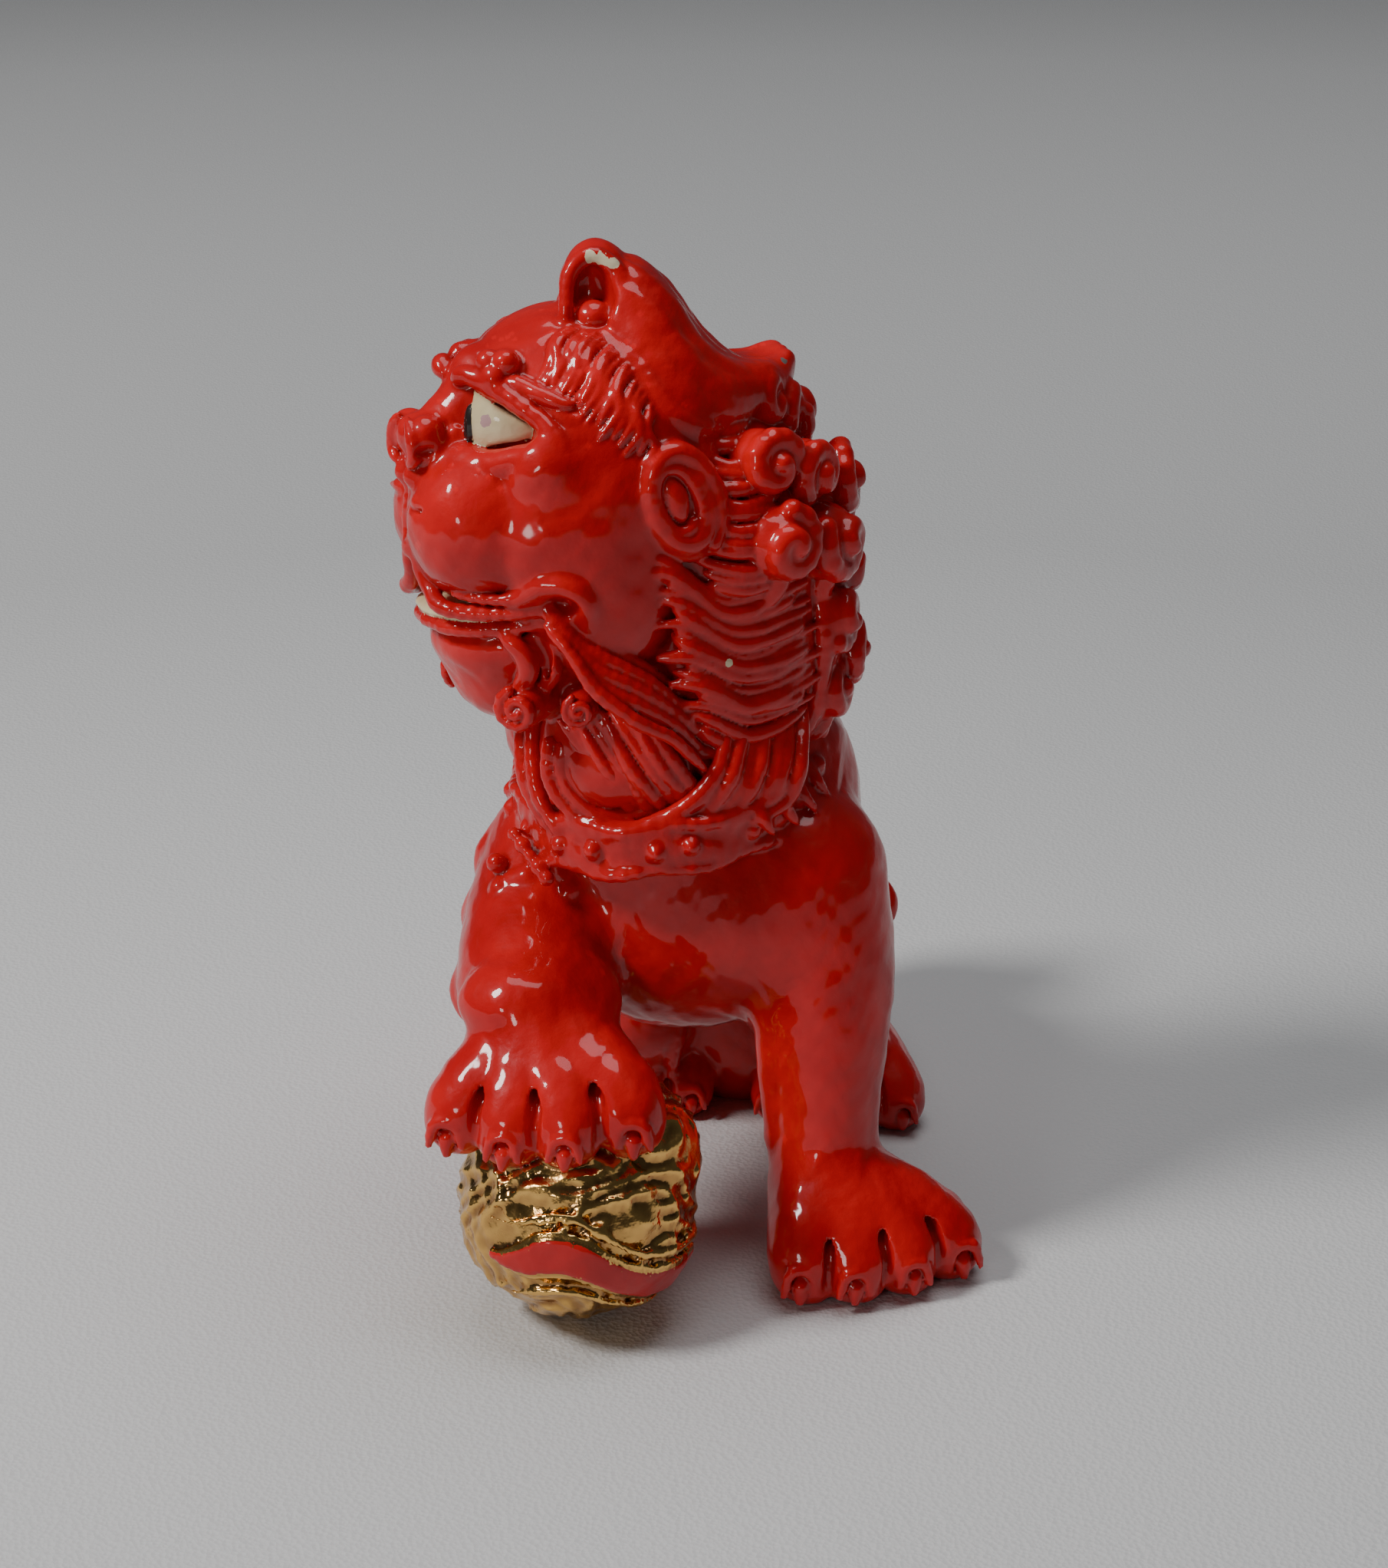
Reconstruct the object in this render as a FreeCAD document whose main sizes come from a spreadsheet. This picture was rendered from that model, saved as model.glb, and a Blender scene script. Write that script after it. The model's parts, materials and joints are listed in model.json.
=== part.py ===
"""Seated guardian lion with one forepaw on a ball: a small cast statue, modelled piece by piece.

The lion looks along -Y. +Z is up and +X is the lion's left. The origin is the centre of the bounding
box's lower face. The head has a frame of its own, turned to the lion's right and tilted a little, and
its pieces are placed by (left, forward, up) from the centre of the skull. Lengths are in millimetres.
"""
import FreeCAD, Part
import os
from FreeCAD import Placement, Rotation, Vector

UP = Vector(0, 0, 1)
TOUCH_MM3 = 0.002      # two pieces that share less than this only touch
SLIVER_MM3 = 3.0       # a loose crumb left by a cut, dropped

DIMS = {
    # where the lion's middle plane and its standing point lie from the origin
    "mid_x": -1.44, "mid_y": -13.2,
    # ball under the lion's right forepaw
    "ball_r": 16.0, "ribbon_t": 0.8, "ribbon_w": 5.0,
    # torso, legs and paws
    "chest_w": 23.0, "leg_r": 6.9, "toe_r": 4.2, "paw_w": 12.5, "claw_r": 1.7, "claw_l": 4.5,
    "thigh_r": 15.5, "leg_curl_r": 3.0,
    # collar and bell
    "collar_w": 5.2, "collar_t": 2.2, "stud_r": 1.5, "bell_r": 6.8, "strap_r": 1.6,
    # head
    "head_x": -16.2, "head_y": -2.0, "head_z": 106.6, "head_turn": 58.0, "head_tilt": 5.0,
    "skull_r": 20.8, "pad_r": 10.2, "eye_r": 4.9, "pupil_r": 2.1, "brow_r": 3.4, "ear_r": 7.8,
    "horn_r": 5.4, "bead_r": 2.9, "curl_r": 3.6, "lock_r": 1.5, "lock_pitch": 3.2, "whisker_r": 2.6, "tooth_h": 2.2,
    # tail
    "tail_r": 6.0,
}

doc = FreeCAD.newDocument("guardian_lion")
sheet = doc.addObject("Spreadsheet::Sheet", "dims")
for row, (alias, value) in enumerate(DIMS.items(), 1):
    sheet.set(f"A{row}", alias)
    sheet.set(f"B{row}", str(value))
    sheet.setAlias(f"B{row}", alias)
doc.recompute()

LOCK_COUNT = 9         # cheek locks on each side
nodes = []             # finished sub-parts, in the order in which they claim their space


def dim(alias):
    return float(sheet.get(alias))


def bind(obj, prop, formula):
    """Ties a size to the sheet. A formula is written with bare aliases, such as 'skull_r * 0.9'."""
    words = [f"dims.{w}" if w in DIMS else w for w in formula.split()]
    obj.setExpression(prop, " ".join(words))


# ---- places -------------------------------------------------------------------------------------

def on_body(x, y, z, turn=None):
    """A place measured from the lion's middle plane and standing point."""
    return Placement(Vector(x + dim("mid_x"), y + dim("mid_y"), z), turn or Rotation())


def head_frame():
    turn = Rotation(UP, -dim("head_turn")) * Rotation(Vector(0, 1, 0), -dim("head_tilt"))
    return on_body(dim("head_x"), dim("head_y"), dim("head_z"), turn)


def on_head(left, forward, up, turn=None):
    """A place measured from the skull's centre, in the head's own frame."""
    return head_frame() * Placement(Vector(left, -forward, up), turn or Rotation())


def spin(axis, degrees):
    axes = {"x": Vector(1, 0, 0), "y": Vector(0, 1, 0), "z": UP}
    return Rotation(axes[axis], degrees)


# ---- shapes -------------------------------------------------------------------------------------

def seam_outward(side):
    """Turns a sphere's seam to the side it stands on, clear of where the body cuts into it."""
    return spin("z", 0 if side > 0 else 180)


def sphere(place, radius):
    made = doc.addObject("Part::Sphere", "sphere")
    bind(made, "Radius", radius)
    made.Placement = place
    return made


def cone(place, radius, tip, length):
    made = doc.addObject("Part::Cone", "cone")
    for prop, formula in (("Radius1", radius), ("Radius2", tip), ("Height", length)):
        bind(made, prop, formula)
    made.Placement = place
    return made


def disc(place, radius, thick):
    """A round slab whose middle is at the place and whose axis is the place's own Z."""
    made = doc.addObject("Part::Cylinder", "disc")
    bind(made, "Radius", radius)
    bind(made, "Height", thick)
    made.Placement = place * Placement(Vector(0, 0, -made.Height.Value / 2), Rotation())
    return made


def arc(place, radius, thick, degrees=360):
    """A ring, or with fewer degrees a bent lock of hair, round the place's own Z axis."""
    made = doc.addObject("Part::Torus", "arc")
    bind(made, "Radius1", radius)
    bind(made, "Radius2", thick)
    made.Angle3 = degrees
    made.Placement = place
    return made


def box(place, length, width, height):
    made = doc.addObject("Part::Box", "box")
    made.Length, made.Width, made.Height = length, width, height
    made.Placement = place
    return made


def loft(rings):
    """A smooth solid through ellipses: each ring is (place, half width formula, half depth formula)."""
    sections = []
    for place, wide, deep in rings:
        ring = doc.addObject("Part::Ellipse", "ring")
        bind(ring, "MajorRadius", wide)
        bind(ring, "MinorRadius", deep)
        ring.Placement = place
        sections.append(ring)
    made = doc.addObject("Part::Loft", "loft")
    made.Sections = sections
    made.Solid = True
    return made


def tube(points, radii):
    """A limb, lock or horn: a loft through circles square to the line through the points."""
    rings, turn, heading = [], Rotation(), UP
    for i, (place, radius) in enumerate(zip(points, radii)):
        before, after = points[max(i - 1, 0)], points[min(i + 1, len(points) - 1)]
        along = after.Base - before.Base
        turn = Rotation(heading, along) * turn
        heading = along
        rings.append((Placement(place.Base, turn), radius, radius))
    return loft(rings)


def fuse(*shapes):
    made = doc.addObject("Part::MultiFuse", "fuse")
    made.Shapes = list(shapes)
    return made


def group(shapes):
    made = doc.addObject("Part::Compound", "group")
    made.Links = list(shapes)
    return made


def cut(base, tool):
    made = doc.addObject("Part::Cut", "cut")
    made.Base, made.Tool = base, tool
    return made


def common(base, tool):
    made = doc.addObject("Part::Common", "common")
    made.Base, made.Tool = base, tool
    return made


def below_floor():
    return box(Placement(Vector(-150, -150, -60), Rotation()), 300, 300, 60)


def near(raw, other):
    """True where the boxes of any two solids of the two shapes overlap."""
    return any(mine.BoundBox.intersect(theirs.BoundBox)
               for mine in raw.Shape.Solids for theirs in other.Shape.Solids)


def give_way(raw):
    """Cuts away, one neighbour at a time, the space that earlier sub-parts already fill."""
    owners = []
    for other in nodes:
        if not near(raw, other):
            continue
        trimmed = cut(raw, other)
        trimmed.recompute()
        trimmed.purgeTouched()
        if trimmed.Shape.isNull():
            raise RuntimeError(f"{raw.Label} could not be cut by {other.Label}")
        if raw.Shape.Volume - trimmed.Shape.Volume > TOUCH_MM3:
            raw = trimmed
            owners.append(other.Label)
        else:
            doc.removeObject(trimmed.Name)
    return raw, owners


def add(name, raw, floor=False):
    """Finishes a sub-part: it gives way to the sub-parts made before it, so that they meet face to face."""
    if floor:
        raw = cut(raw, below_floor())
    doc.recompute()
    raw, owners = give_way(raw)
    solids = raw.Shape.Solids
    if any(s.Volume < SLIVER_MM3 for s in solids):
        whole = doc.addObject("Part::Feature", "whole")
        whole.Shape = Part.makeCompound([s for s in solids if s.Volume >= SLIVER_MM3])
        raw = whole
    raw.Label = name
    nodes.append(raw)
    print(f"{name:22s} {len(raw.Shape.Solids):2d} solids {raw.Shape.Volume:9.1f} mm3, cut by {owners}", flush=True)


# ---- torso, ball and legs -----------------------------------------------------------------------

def make_torso():
    """One smooth body from the seat up to the neck, through level ellipses longer than they are wide."""
    # (height, middle x, middle y, half length over chest_w, half width over chest_w)
    levels = [
        (0, 1.5, 44, 0.72, 0.7), (10, 1.5, 43, 0.86, 0.82), (22, 1, 39, 1.02, 0.88),
        (34, 0.5, 27, 1.5, 0.93), (44, -1, 18.5, 1.56, 0.98), (54, -2.5, 11.5, 1.32, 0.96),
        (62, -3, 7, 1.05, 0.88), (72, -5, 3.5, 0.86, 0.78), (80, -7, 2.5, 0.72, 0.66),
    ]
    along = spin("z", 90)
    add("torso", loft([(on_body(x, y, z, along), f"chest_w * {long}", f"chest_w * {wide}")
                       for z, x, y, long, wide in levels]))


BALL_AT = (-11.7, -25.0)


def make_ball():
    place = on_body(*BALL_AT, dim("ball_r") - 0.3)
    add("ball", sphere(place, "ball_r"), floor=True)


def paw(place, toes):
    """A paw: a domed back with four toes at (x, y, z) from its middle."""
    return fuse(sphere(place, "paw_w"), *[sphere(place * Placement(Vector(*at), Rotation()), "toe_r") for at in toes])


def claws(place, toes, drop):
    """One hooked claw at the front of each toe."""
    made = []
    for x, y, z in toes:
        lean = spin("z", -x * 1.5) * spin("x", 90 + drop)
        tip = Placement(Vector(x, y - dim("toe_r"), z - 0.8), lean)
        made.append(cone(place * tip, "claw_r", "claw_r * 0.35", "claw_l"))
    return group(made)


def make_forelegs():
    standing = [(12, 2, 58), (15, 0, 50), (16.5, -2, 40), (17.8, -5, 28), (18.5, -8, 18), (19, -9, 9)]
    sizes = ["leg_r * 1.15", "leg_r * 1.6", "leg_r * 1.42", "leg_r * 1.08", "leg_r", "leg_r * 1.1"]
    raised = [(-15, 1, 58), (-19.5, -3, 51), (-20.5, -10, 43.5), (-19, -17, 38), (-16.5, -22, 35)]
    raised_sizes = ["leg_r * 1.15", "leg_r * 1.5", "leg_r * 1.42", "leg_r * 1.28", "leg_r * 1.2"]
    left_paw = on_body(23.5, -8.5, 0, spin("z", 24))
    left_toes = [(-12.2, -9, 3.9), (-4.4, -12.6, 3.9), (4.6, -12.4, 3.9), (12.6, -8.4, 3.9)]
    add("foreleg_left", tube([on_body(*p) for p in standing], sizes))
    add("forepaw_left", paw(left_paw, left_toes), floor=True)
    add("forepaw_left_claws", claws(left_paw, left_toes, 22), floor=True)
    right_paw = on_body(-15.5, -25.5, 30, spin("x", 14))
    right_toes = [(-11.8, -7.5, 0), (-5, -12, -0.5), (3.4, -12.5, -0.8), (11, -8.8, 1.2)]
    add("foreleg_right", tube([on_body(*p) for p in raised], raised_sizes))
    add("forepaw_right", paw(right_paw, right_toes))
    add("forepaw_right_claws", claws(right_paw, right_toes, 40))


def make_hind_legs():
    toes = [(-10, -7.5, 3.8), (-3.5, -11, 3.8), (4, -11, 3.8), (10.5, -7, 3.8)]
    for name, side in (("left", 1), ("right", -1)):
        add(f"thigh_{name}", sphere(on_body(1.5 + 13 * side, 43, 19), "thigh_r"), floor=True)
        place = on_body(1.5 + 18 * side, 45, 0, spin("z", 8 * side))
        add(f"hindpaw_{name}", paw(place, toes), floor=True)
        add(f"hindpaw_{name}_claws", claws(place, toes, 22), floor=True)


def make_leg_curls():
    """The tufts that stand off the outer edge of each foreleg."""
    right = [(-29, 2, 46), (-30, -3, 40.5), (-28.5, -13, 33.5)]
    left = [(25.5, 7, 45), (25, 4, 36.5), (23.5, 0, 27.5)]
    for name, side, places in (("right", -1, right), ("left", 1, left)):
        add(f"foreleg_{name}_curls", group([sphere(on_body(*p, seam_outward(side)), "leg_curl_r") for p in places]))


def make_tail():
    """A flame-shaped tail that stands up against the rump, with curls at its sides."""
    line = [(0.5, 58, 10), (0.5, 63, 21), (0.5, 63, 34), (0.5, 59, 46), (0.5, 56.5, 56), (0.5, 56, 62)]
    sizes = ["tail_r * 0.7", "tail_r", "tail_r * 1.25", "tail_r * 1.1", "tail_r * 0.6", "tail_r * 0.2"]
    add("tail", tube([on_body(*p) for p in line], sizes))
    curls = [on_body(side * dx + 0.5, y, z, seam_outward(side))
             for side in (1, -1) for dx, y, z in ((7.5, 62, 25), (8.5, 60, 35), (7, 57.5, 46))]
    add("tail_curls", group([sphere(place, "tail_r * 0.62") for place in curls]))


# ---- collar -------------------------------------------------------------------------------------

def make_collar():
    tilt = spin("y", -6) * spin("z", 90)
    low, high = (-3, 7.6, 58.2), (-3.8, 6.2, 58.2 + dim("collar_w"))
    rings = [(on_body(*low, tilt), "chest_w * 1.11 + collar_t", "chest_w * 0.93 + collar_t"),
             (on_body(*high, tilt), "chest_w * 1.01 + collar_t", "chest_w * 0.85 + collar_t")]
    add("collar_band", loft(rings))


def make_bell():
    add("bell", sphere(on_body(-8.2, -14.5, 72.5), "bell_r"))
    add("bell_cradle", arc(on_body(-8.2, -14.5, 72.5, spin("x", 78)), "bell_r + 0.5", "strap_r * 0.8"))


def make_straps():
    left = [(-21.5, -4, 78), (-22.5, -7, 72), (-21.5, -9, 66), (-19.5, -11, 60)]
    add("collar_ribbon", tube([on_body(*p) for p in left], ["strap_r * 1.3"] * 4))


# ---- head ---------------------------------------------------------------------------------------

def make_skull():
    add("skull", sphere(on_head(0, 0, 0), "skull_r"))


def make_muzzle():
    add("muzzle", fuse(*[sphere(on_head(5.5 * s, 12.5, -3.5), "pad_r") for s in (1, -1)]))
    nose = sphere(on_head(0, 20, 7), "pad_r * 0.5")
    wings = [sphere(on_head(5.2 * s, 19.5, 5.4), "pad_r * 0.3") for s in (1, -1)]
    add("nose", fuse(nose, *wings))


def make_jaw():
    jaw = sphere(on_head(0, 8, -19), "pad_r * 1.12")
    chin = sphere(on_head(0, 7.5, -26.5), "pad_r * 0.85")
    add("lower_jaw", fuse(jaw, chin))
    add("teeth", disc(on_head(0, 9.2, -13.8), "pad_r * 1.1", "tooth_h"))


def make_eyes():
    for name, s in (("left", 1), ("right", -1)):
        look = on_head(9.3 * s, 12.6, 10.2, spin("z", 18 * s))
        ahead = look * Placement(Vector(0, -dim("eye_r") * 0.72, 0), Rotation())
        add(f"pupil_{name}", cut(sphere(ahead, "pupil_r"), sphere(look, "eye_r")))
        add(f"eye_{name}", sphere(look, "eye_r"))


def make_brows():
    for name, s in (("left", 1), ("right", -1)):
        curl = sphere(on_head(7.4 * s, 12.4, 16.6), "brow_r")
        ridge = tube([on_head(7.4 * s, 12.6, 15.6), on_head(12 * s, 11, 15.6), on_head(16.2 * s, 6.5, 13.6)],
                     ["brow_r * 0.75", "brow_r * 0.6", "brow_r * 0.35"])
        add(f"brow_{name}", fuse(curl, ridge))


def make_ears():
    """Each ear is a round dish with a rolled rim and a lobe in its middle."""
    for name, s in (("left", 1), ("right", -1)):
        place = on_head(20.3 * s, -7.7, 1, spin("z", 14 * s) * spin("x", -16) * spin("y", 90 * s))
        rim = arc(place, "ear_r * 0.72", "ear_r * 0.28")
        dish = disc(place, "ear_r * 0.8", "ear_r * 0.42")
        lobe = sphere(place, "ear_r * 0.36")
        add(f"ear_{name}", fuse(rim, dish, lobe))


def make_horn():
    """One horn: a hood over the brow, open to the front with a bead in it, that runs back to a raised tip."""
    add("horn_bead", sphere(on_head(1, 2.5, 20.8), "bead_r"))
    hood = sphere(on_head(1, -3, 23), "horn_r * 1.2")
    mouth = sphere(on_head(1, 4.5, 23.5), "horn_r * 0.75")
    line = [(1, -3, 22.5), (1.5, -9.5, 22.5), (2, -15, 16.5), (2, -20.5, 10.8), (2, -26, 8), (2, -30, 9),
            (2, -32.5, 11.5)]
    sizes = ["horn_r", "horn_r * 0.95", "horn_r * 0.95", "horn_r * 1.08", "horn_r * 0.9", "horn_r * 0.55",
             "horn_r * 0.22"]
    add("horn", cut(fuse(hood, tube([on_head(*p) for p in line], sizes)), mouth))


def make_mane():
    crown = sphere(on_head(0, -15.5, -7), "skull_r * 0.98")
    nape = sphere(on_head(0, -17.5, -19.5), "skull_r * 0.97")
    add("mane", fuse(crown, nape))
    curls = []
    for s in (1, -1):
        side = [(17, -22, 8), (19, -27, -3), (20, -18, -6), (15, -33, -2), (18, -30, -14), (12, -36, -12),
                (15, -35, -24), (17, -28, -26), (10, -36, -33)]
        curls += [sphere(on_head(a * s, b, c, seam_outward(s)), "curl_r") for a, b, c in side]
    curls += [sphere(on_head(0, b, c), "curl_r") for b, c in ((-33, 2), (-38.5, -9), (-39.5, -20), (-37, -31))]
    add("mane_curls", group(curls))


def make_locks():
    """Each cheek's fall of combed locks, one above the other below the ear."""
    for name, s in (("left", 1), ("right", -1)):
        locks = []
        for i in range(LOCK_COUNT):
            out = 9.5 - 0.11 * (i - 3) ** 2
            at = Vector(out * s, -14.5, -8.5 - dim("lock_pitch") * i)
            turn = spin("x", 8) * spin("z", -50 if s > 0 else 130)
            locks.append(arc(on_head(at.x, at.y, at.z, turn), "lock_r * 7", "lock_r", 100))
        add(f"cheek_locks_{name}", group(locks))
        whisker = tube([on_head(13.5 * s, 6.5, -13.5), on_head(16 * s, 1.5, -18.5), on_head(17 * s, -5, -24),
                        on_head(15 * s, -10, -29)],
                       ["whisker_r * 0.55", "whisker_r", "whisker_r", "whisker_r * 0.5"])
        add(f"whisker_{name}", whisker)


def make_beard():
    spots = [(side * a, f, u) for side in (1, -1) for a, f, u in ((8, 9.6, -28.6), (12.5, 3.6, -27.2))]
    add("beard_curls", group([sphere(on_head(*p), "brow_r * 0.95") for p in spots]))


def make_studs():
    """Raised studs round the collar's outer face."""
    made = []
    for i in range(13):
        turn = Rotation(UP, -78 + 26 * i)
        rim = turn.multVec(Vector(0, -1, 0))
        x = -3.4 + rim.x * (dim("chest_w") * 0.89 + dim("collar_t"))
        y = 6.9 + rim.y * (dim("chest_w") * 1.06 + dim("collar_t"))
        made.append(sphere(on_body(x, y, 60.8 + 0.105 * (x + 3.4)), "stud_r"))
    add("collar_studs", group(made))


def make_ball_ribbon():
    """The painted ribbon in relief round the ball's front."""
    place = on_body(*BALL_AT, dim("ball_r") - 0.3)
    shell = sphere(place, "ball_r + ribbon_t")
    slab = doc.addObject("Part::Box", "slab")
    slab.Length, slab.Width = 60, 60
    bind(slab, "Height", "ribbon_w")
    tilt = spin("y", 14) * spin("x", -8)
    slab.Placement = place * Placement(Vector(), tilt) * Placement(Vector(-30, -60, -6), Rotation())
    add("ball_ribbon", common(shell, slab))


MAKERS = [
    make_torso, make_ball, make_forelegs, make_hind_legs, make_leg_curls, make_tail, make_collar,
    make_skull, make_muzzle, make_jaw, make_eyes, make_brows, make_ears, make_horn, make_bell,
    make_straps, make_mane, make_locks, make_beard, make_studs, make_ball_ribbon,
]
for make in MAKERS:
    make()
doc.recompute()

broken = [o.Label for o in doc.Objects if "Invalid" in o.State or "Error" in o.State]
broken += [o.Label for o in nodes if o.Shape.isNull() or not o.Shape.isValid() or not o.Shape.Solids]
if broken:
    raise RuntimeError(f"these objects failed: {broken}")

os.makedirs("parts", exist_ok=True)
for node in nodes:
    node.Shape.exportStep(os.path.join("parts", node.Label + ".step"))

whole = FreeCAD.BoundBox()
for node in nodes:
    whole.add(node.Shape.BoundBox)
print(f"{len(nodes)} nodes, box {whole}")
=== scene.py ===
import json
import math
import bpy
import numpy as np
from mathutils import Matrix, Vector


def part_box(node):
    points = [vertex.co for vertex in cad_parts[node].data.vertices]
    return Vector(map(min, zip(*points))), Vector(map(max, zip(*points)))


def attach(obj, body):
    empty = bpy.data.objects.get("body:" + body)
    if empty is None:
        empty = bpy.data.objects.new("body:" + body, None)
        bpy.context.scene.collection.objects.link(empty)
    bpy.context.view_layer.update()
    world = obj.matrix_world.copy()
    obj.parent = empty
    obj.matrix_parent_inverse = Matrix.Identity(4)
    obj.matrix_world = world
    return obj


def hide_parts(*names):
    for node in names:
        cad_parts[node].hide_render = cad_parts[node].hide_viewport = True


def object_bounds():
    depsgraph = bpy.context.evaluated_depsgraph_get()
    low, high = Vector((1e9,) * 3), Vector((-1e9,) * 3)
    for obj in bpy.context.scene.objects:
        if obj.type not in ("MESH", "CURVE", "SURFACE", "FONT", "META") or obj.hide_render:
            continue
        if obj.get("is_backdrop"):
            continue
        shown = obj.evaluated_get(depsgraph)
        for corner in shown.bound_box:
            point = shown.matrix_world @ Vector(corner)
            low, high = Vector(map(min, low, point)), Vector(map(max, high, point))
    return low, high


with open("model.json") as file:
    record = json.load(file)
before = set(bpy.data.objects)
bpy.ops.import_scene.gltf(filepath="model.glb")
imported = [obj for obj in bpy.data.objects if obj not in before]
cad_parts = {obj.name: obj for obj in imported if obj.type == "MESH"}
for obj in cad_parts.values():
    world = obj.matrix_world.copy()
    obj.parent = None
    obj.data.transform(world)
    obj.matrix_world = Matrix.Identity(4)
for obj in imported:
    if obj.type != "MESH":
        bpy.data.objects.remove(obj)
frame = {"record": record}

# A small cast statue of a guardian lion, its head turned aside and a forepaw on a gold ball.
#
# The lion is modelled as a sculptor would, in clay. Each piece is a set of simple shapes, held as
# distances on a grid in millimetres and melted into one another with soft joins. The two blocks of clay,
# body and head, are then parted along the CAD nodes into one closed mesh each, so the pieces share one
# smooth skin. Body places are (x, y, z) from the lion's standing point, and head places are
# (left, back, up) from the middle of the skull. Both are found from the skull's box in the frame. All
# through, s is 1 on the lion's left and -1 on its right.

import openvdb
from mathutils import Matrix, Vector

MM = 0.001
FAR = 6.0                 # a distance in mm that counts as far away
OVERLAP = 0.9             # how far a piece runs on under its neighbour, in mm
SINK = 0.35               # how deep it lies there, in mm
SIDES = {"left": 1, "right": -1}
HEAD_STEP, BODY_STEP = 0.3, 0.4               # how fine the two grids are, in mm
HEAD_SPACE = ((-27, -29, -48), (27, 42, 34))  # the corners of the space that each block fills
BODY_SPACE = ((-38, -46, -1), (44, 71, 86))
HEAD_TURN, HEAD_TILT = -58, -5                # in degrees
SKULL_TO_BODY = (16.2, 2.0)                   # from the skull's middle to the standing point, in mm
START_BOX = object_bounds()


# ---- clay ---------------------------------------------------------------------------------------

def length(x, y, z):
    return np.sqrt(x * x + y * y + z * z)


def smooth_curve(points, count):
    """Points along a smooth line through the given ones (a Catmull-Rom spline)."""
    p = np.array(points, float)
    p = np.vstack([2 * p[0] - p[1], p, 2 * p[-1] - p[-2]])
    made = []
    for k in np.linspace(0, len(p) - 3 - 1e-6, count):
        i, t = int(k), k - int(k)
        a, b, c, d = p[i:i + 4]
        made.append(0.5 * (2 * b + (c - a) * t + (2 * a - 5 * b + 4 * c - d) * t ** 2
                           + (3 * b - a - 3 * c + d) * t ** 3))
    return np.array(made)


def egg(centre, radii, turn=None):
    """An ellipsoid: its box, and its distance at points."""
    centre, radii = np.array(centre, float), np.array(radii, float)
    turn = np.eye(3) if turn is None else np.array(turn)
    reach = np.sqrt(((turn * radii) ** 2).sum(1))

    def distance(x, y, z):
        x, y, z = x - centre[0], y - centre[1], z - centre[2]
        u, v, w = (turn[0, i] * x + turn[1, i] * y + turn[2, i] * z for i in range(3))
        near = length(u / radii[0], v / radii[1], w / radii[2])
        slope = length(u / radii[0] ** 2, v / radii[1] ** 2, w / radii[2] ** 2)
        return near * (near - 1) / np.maximum(slope, 1e-6)

    return centre - reach, centre + reach, distance


def ball(centre, radius):
    return egg(centre, (radius,) * 3)


def rod(a, b, ra, rb):
    """A straight rod from a to b whose radius goes from ra to rb, with round ends."""
    a, b = np.array(a, float), np.array(b, float)
    along = b - a
    reach = max(ra, rb)

    def distance(x, y, z):
        x, y, z = x - a[0], y - a[1], z - a[2]
        t = np.clip((x * along[0] + y * along[1] + z * along[2]) / max(along @ along, 1e-9), 0, 1)
        return length(x - along[0] * t, y - along[1] * t, z - along[2] * t) - (ra + (rb - ra) * t)

    return np.minimum(a, b) - reach, np.maximum(a, b) + reach, distance


def rods(points, radii):
    return [rod(points[i], points[i + 1], radii[i], radii[i + 1]) for i in range(len(points) - 1)]


def lock(points, radius, count=12, tip=0.35, swell=1.0):
    """A lock of hair: thickest in the middle, thin at both ends."""
    line = smooth_curve(points, count)
    t = np.linspace(0, 1, count)
    return rods(line, radius * (tip + (swell - tip) * np.sin(math.pi * t) ** 0.6))


def limb(points, radii, count=14):
    """A smooth limb through points, with a radius at each."""
    line = smooth_curve([(*p, r) for p, r in zip(points, radii)], count)
    return rods(line[:, :3], line[:, 3])


def basis(outward, up=(0, 0, 1)):
    """Three unit vectors: across, up and outward."""
    out = np.array(outward, float) / np.linalg.norm(outward)
    across = np.cross(up, out)
    across /= np.linalg.norm(across)
    return across, np.cross(out, across), out


def coil(centre, outward, radius, hand=1, turns=1.6, start=0.0, rise=0.45, thick=0.3):
    """A snail curl: a strand that winds inward on a surface that faces outward."""
    across, up, out = basis(outward)
    t = np.linspace(0, 1, int(10 * turns) + 4)
    angle = start + hand * 2 * math.pi * turns * t
    wide = radius * (1 - 0.86 * t)
    line = (np.array(centre) + np.outer(wide * np.cos(angle), across) + np.outer(wide * np.sin(angle), up)
            + np.outer(radius * rise * t, out))
    return rods(line, radius * thick * (1 - 0.35 * t))


class Clay:
    """One piece: shapes added and cut in order, each with how softly it melts in."""

    def __init__(self, melt):
        self.melt = melt          # how softly the piece melts into the rest
        self.steps = []

    def put(self, shapes, soft, sign):
        for shape in shapes if isinstance(shapes, list) else [shapes]:
            self.steps.append((shape, soft, sign))

    def add(self, shapes, soft):
        self.put(shapes, soft, 1)

    def cut(self, shapes, soft):
        self.put(shapes, soft, -1)


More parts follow.
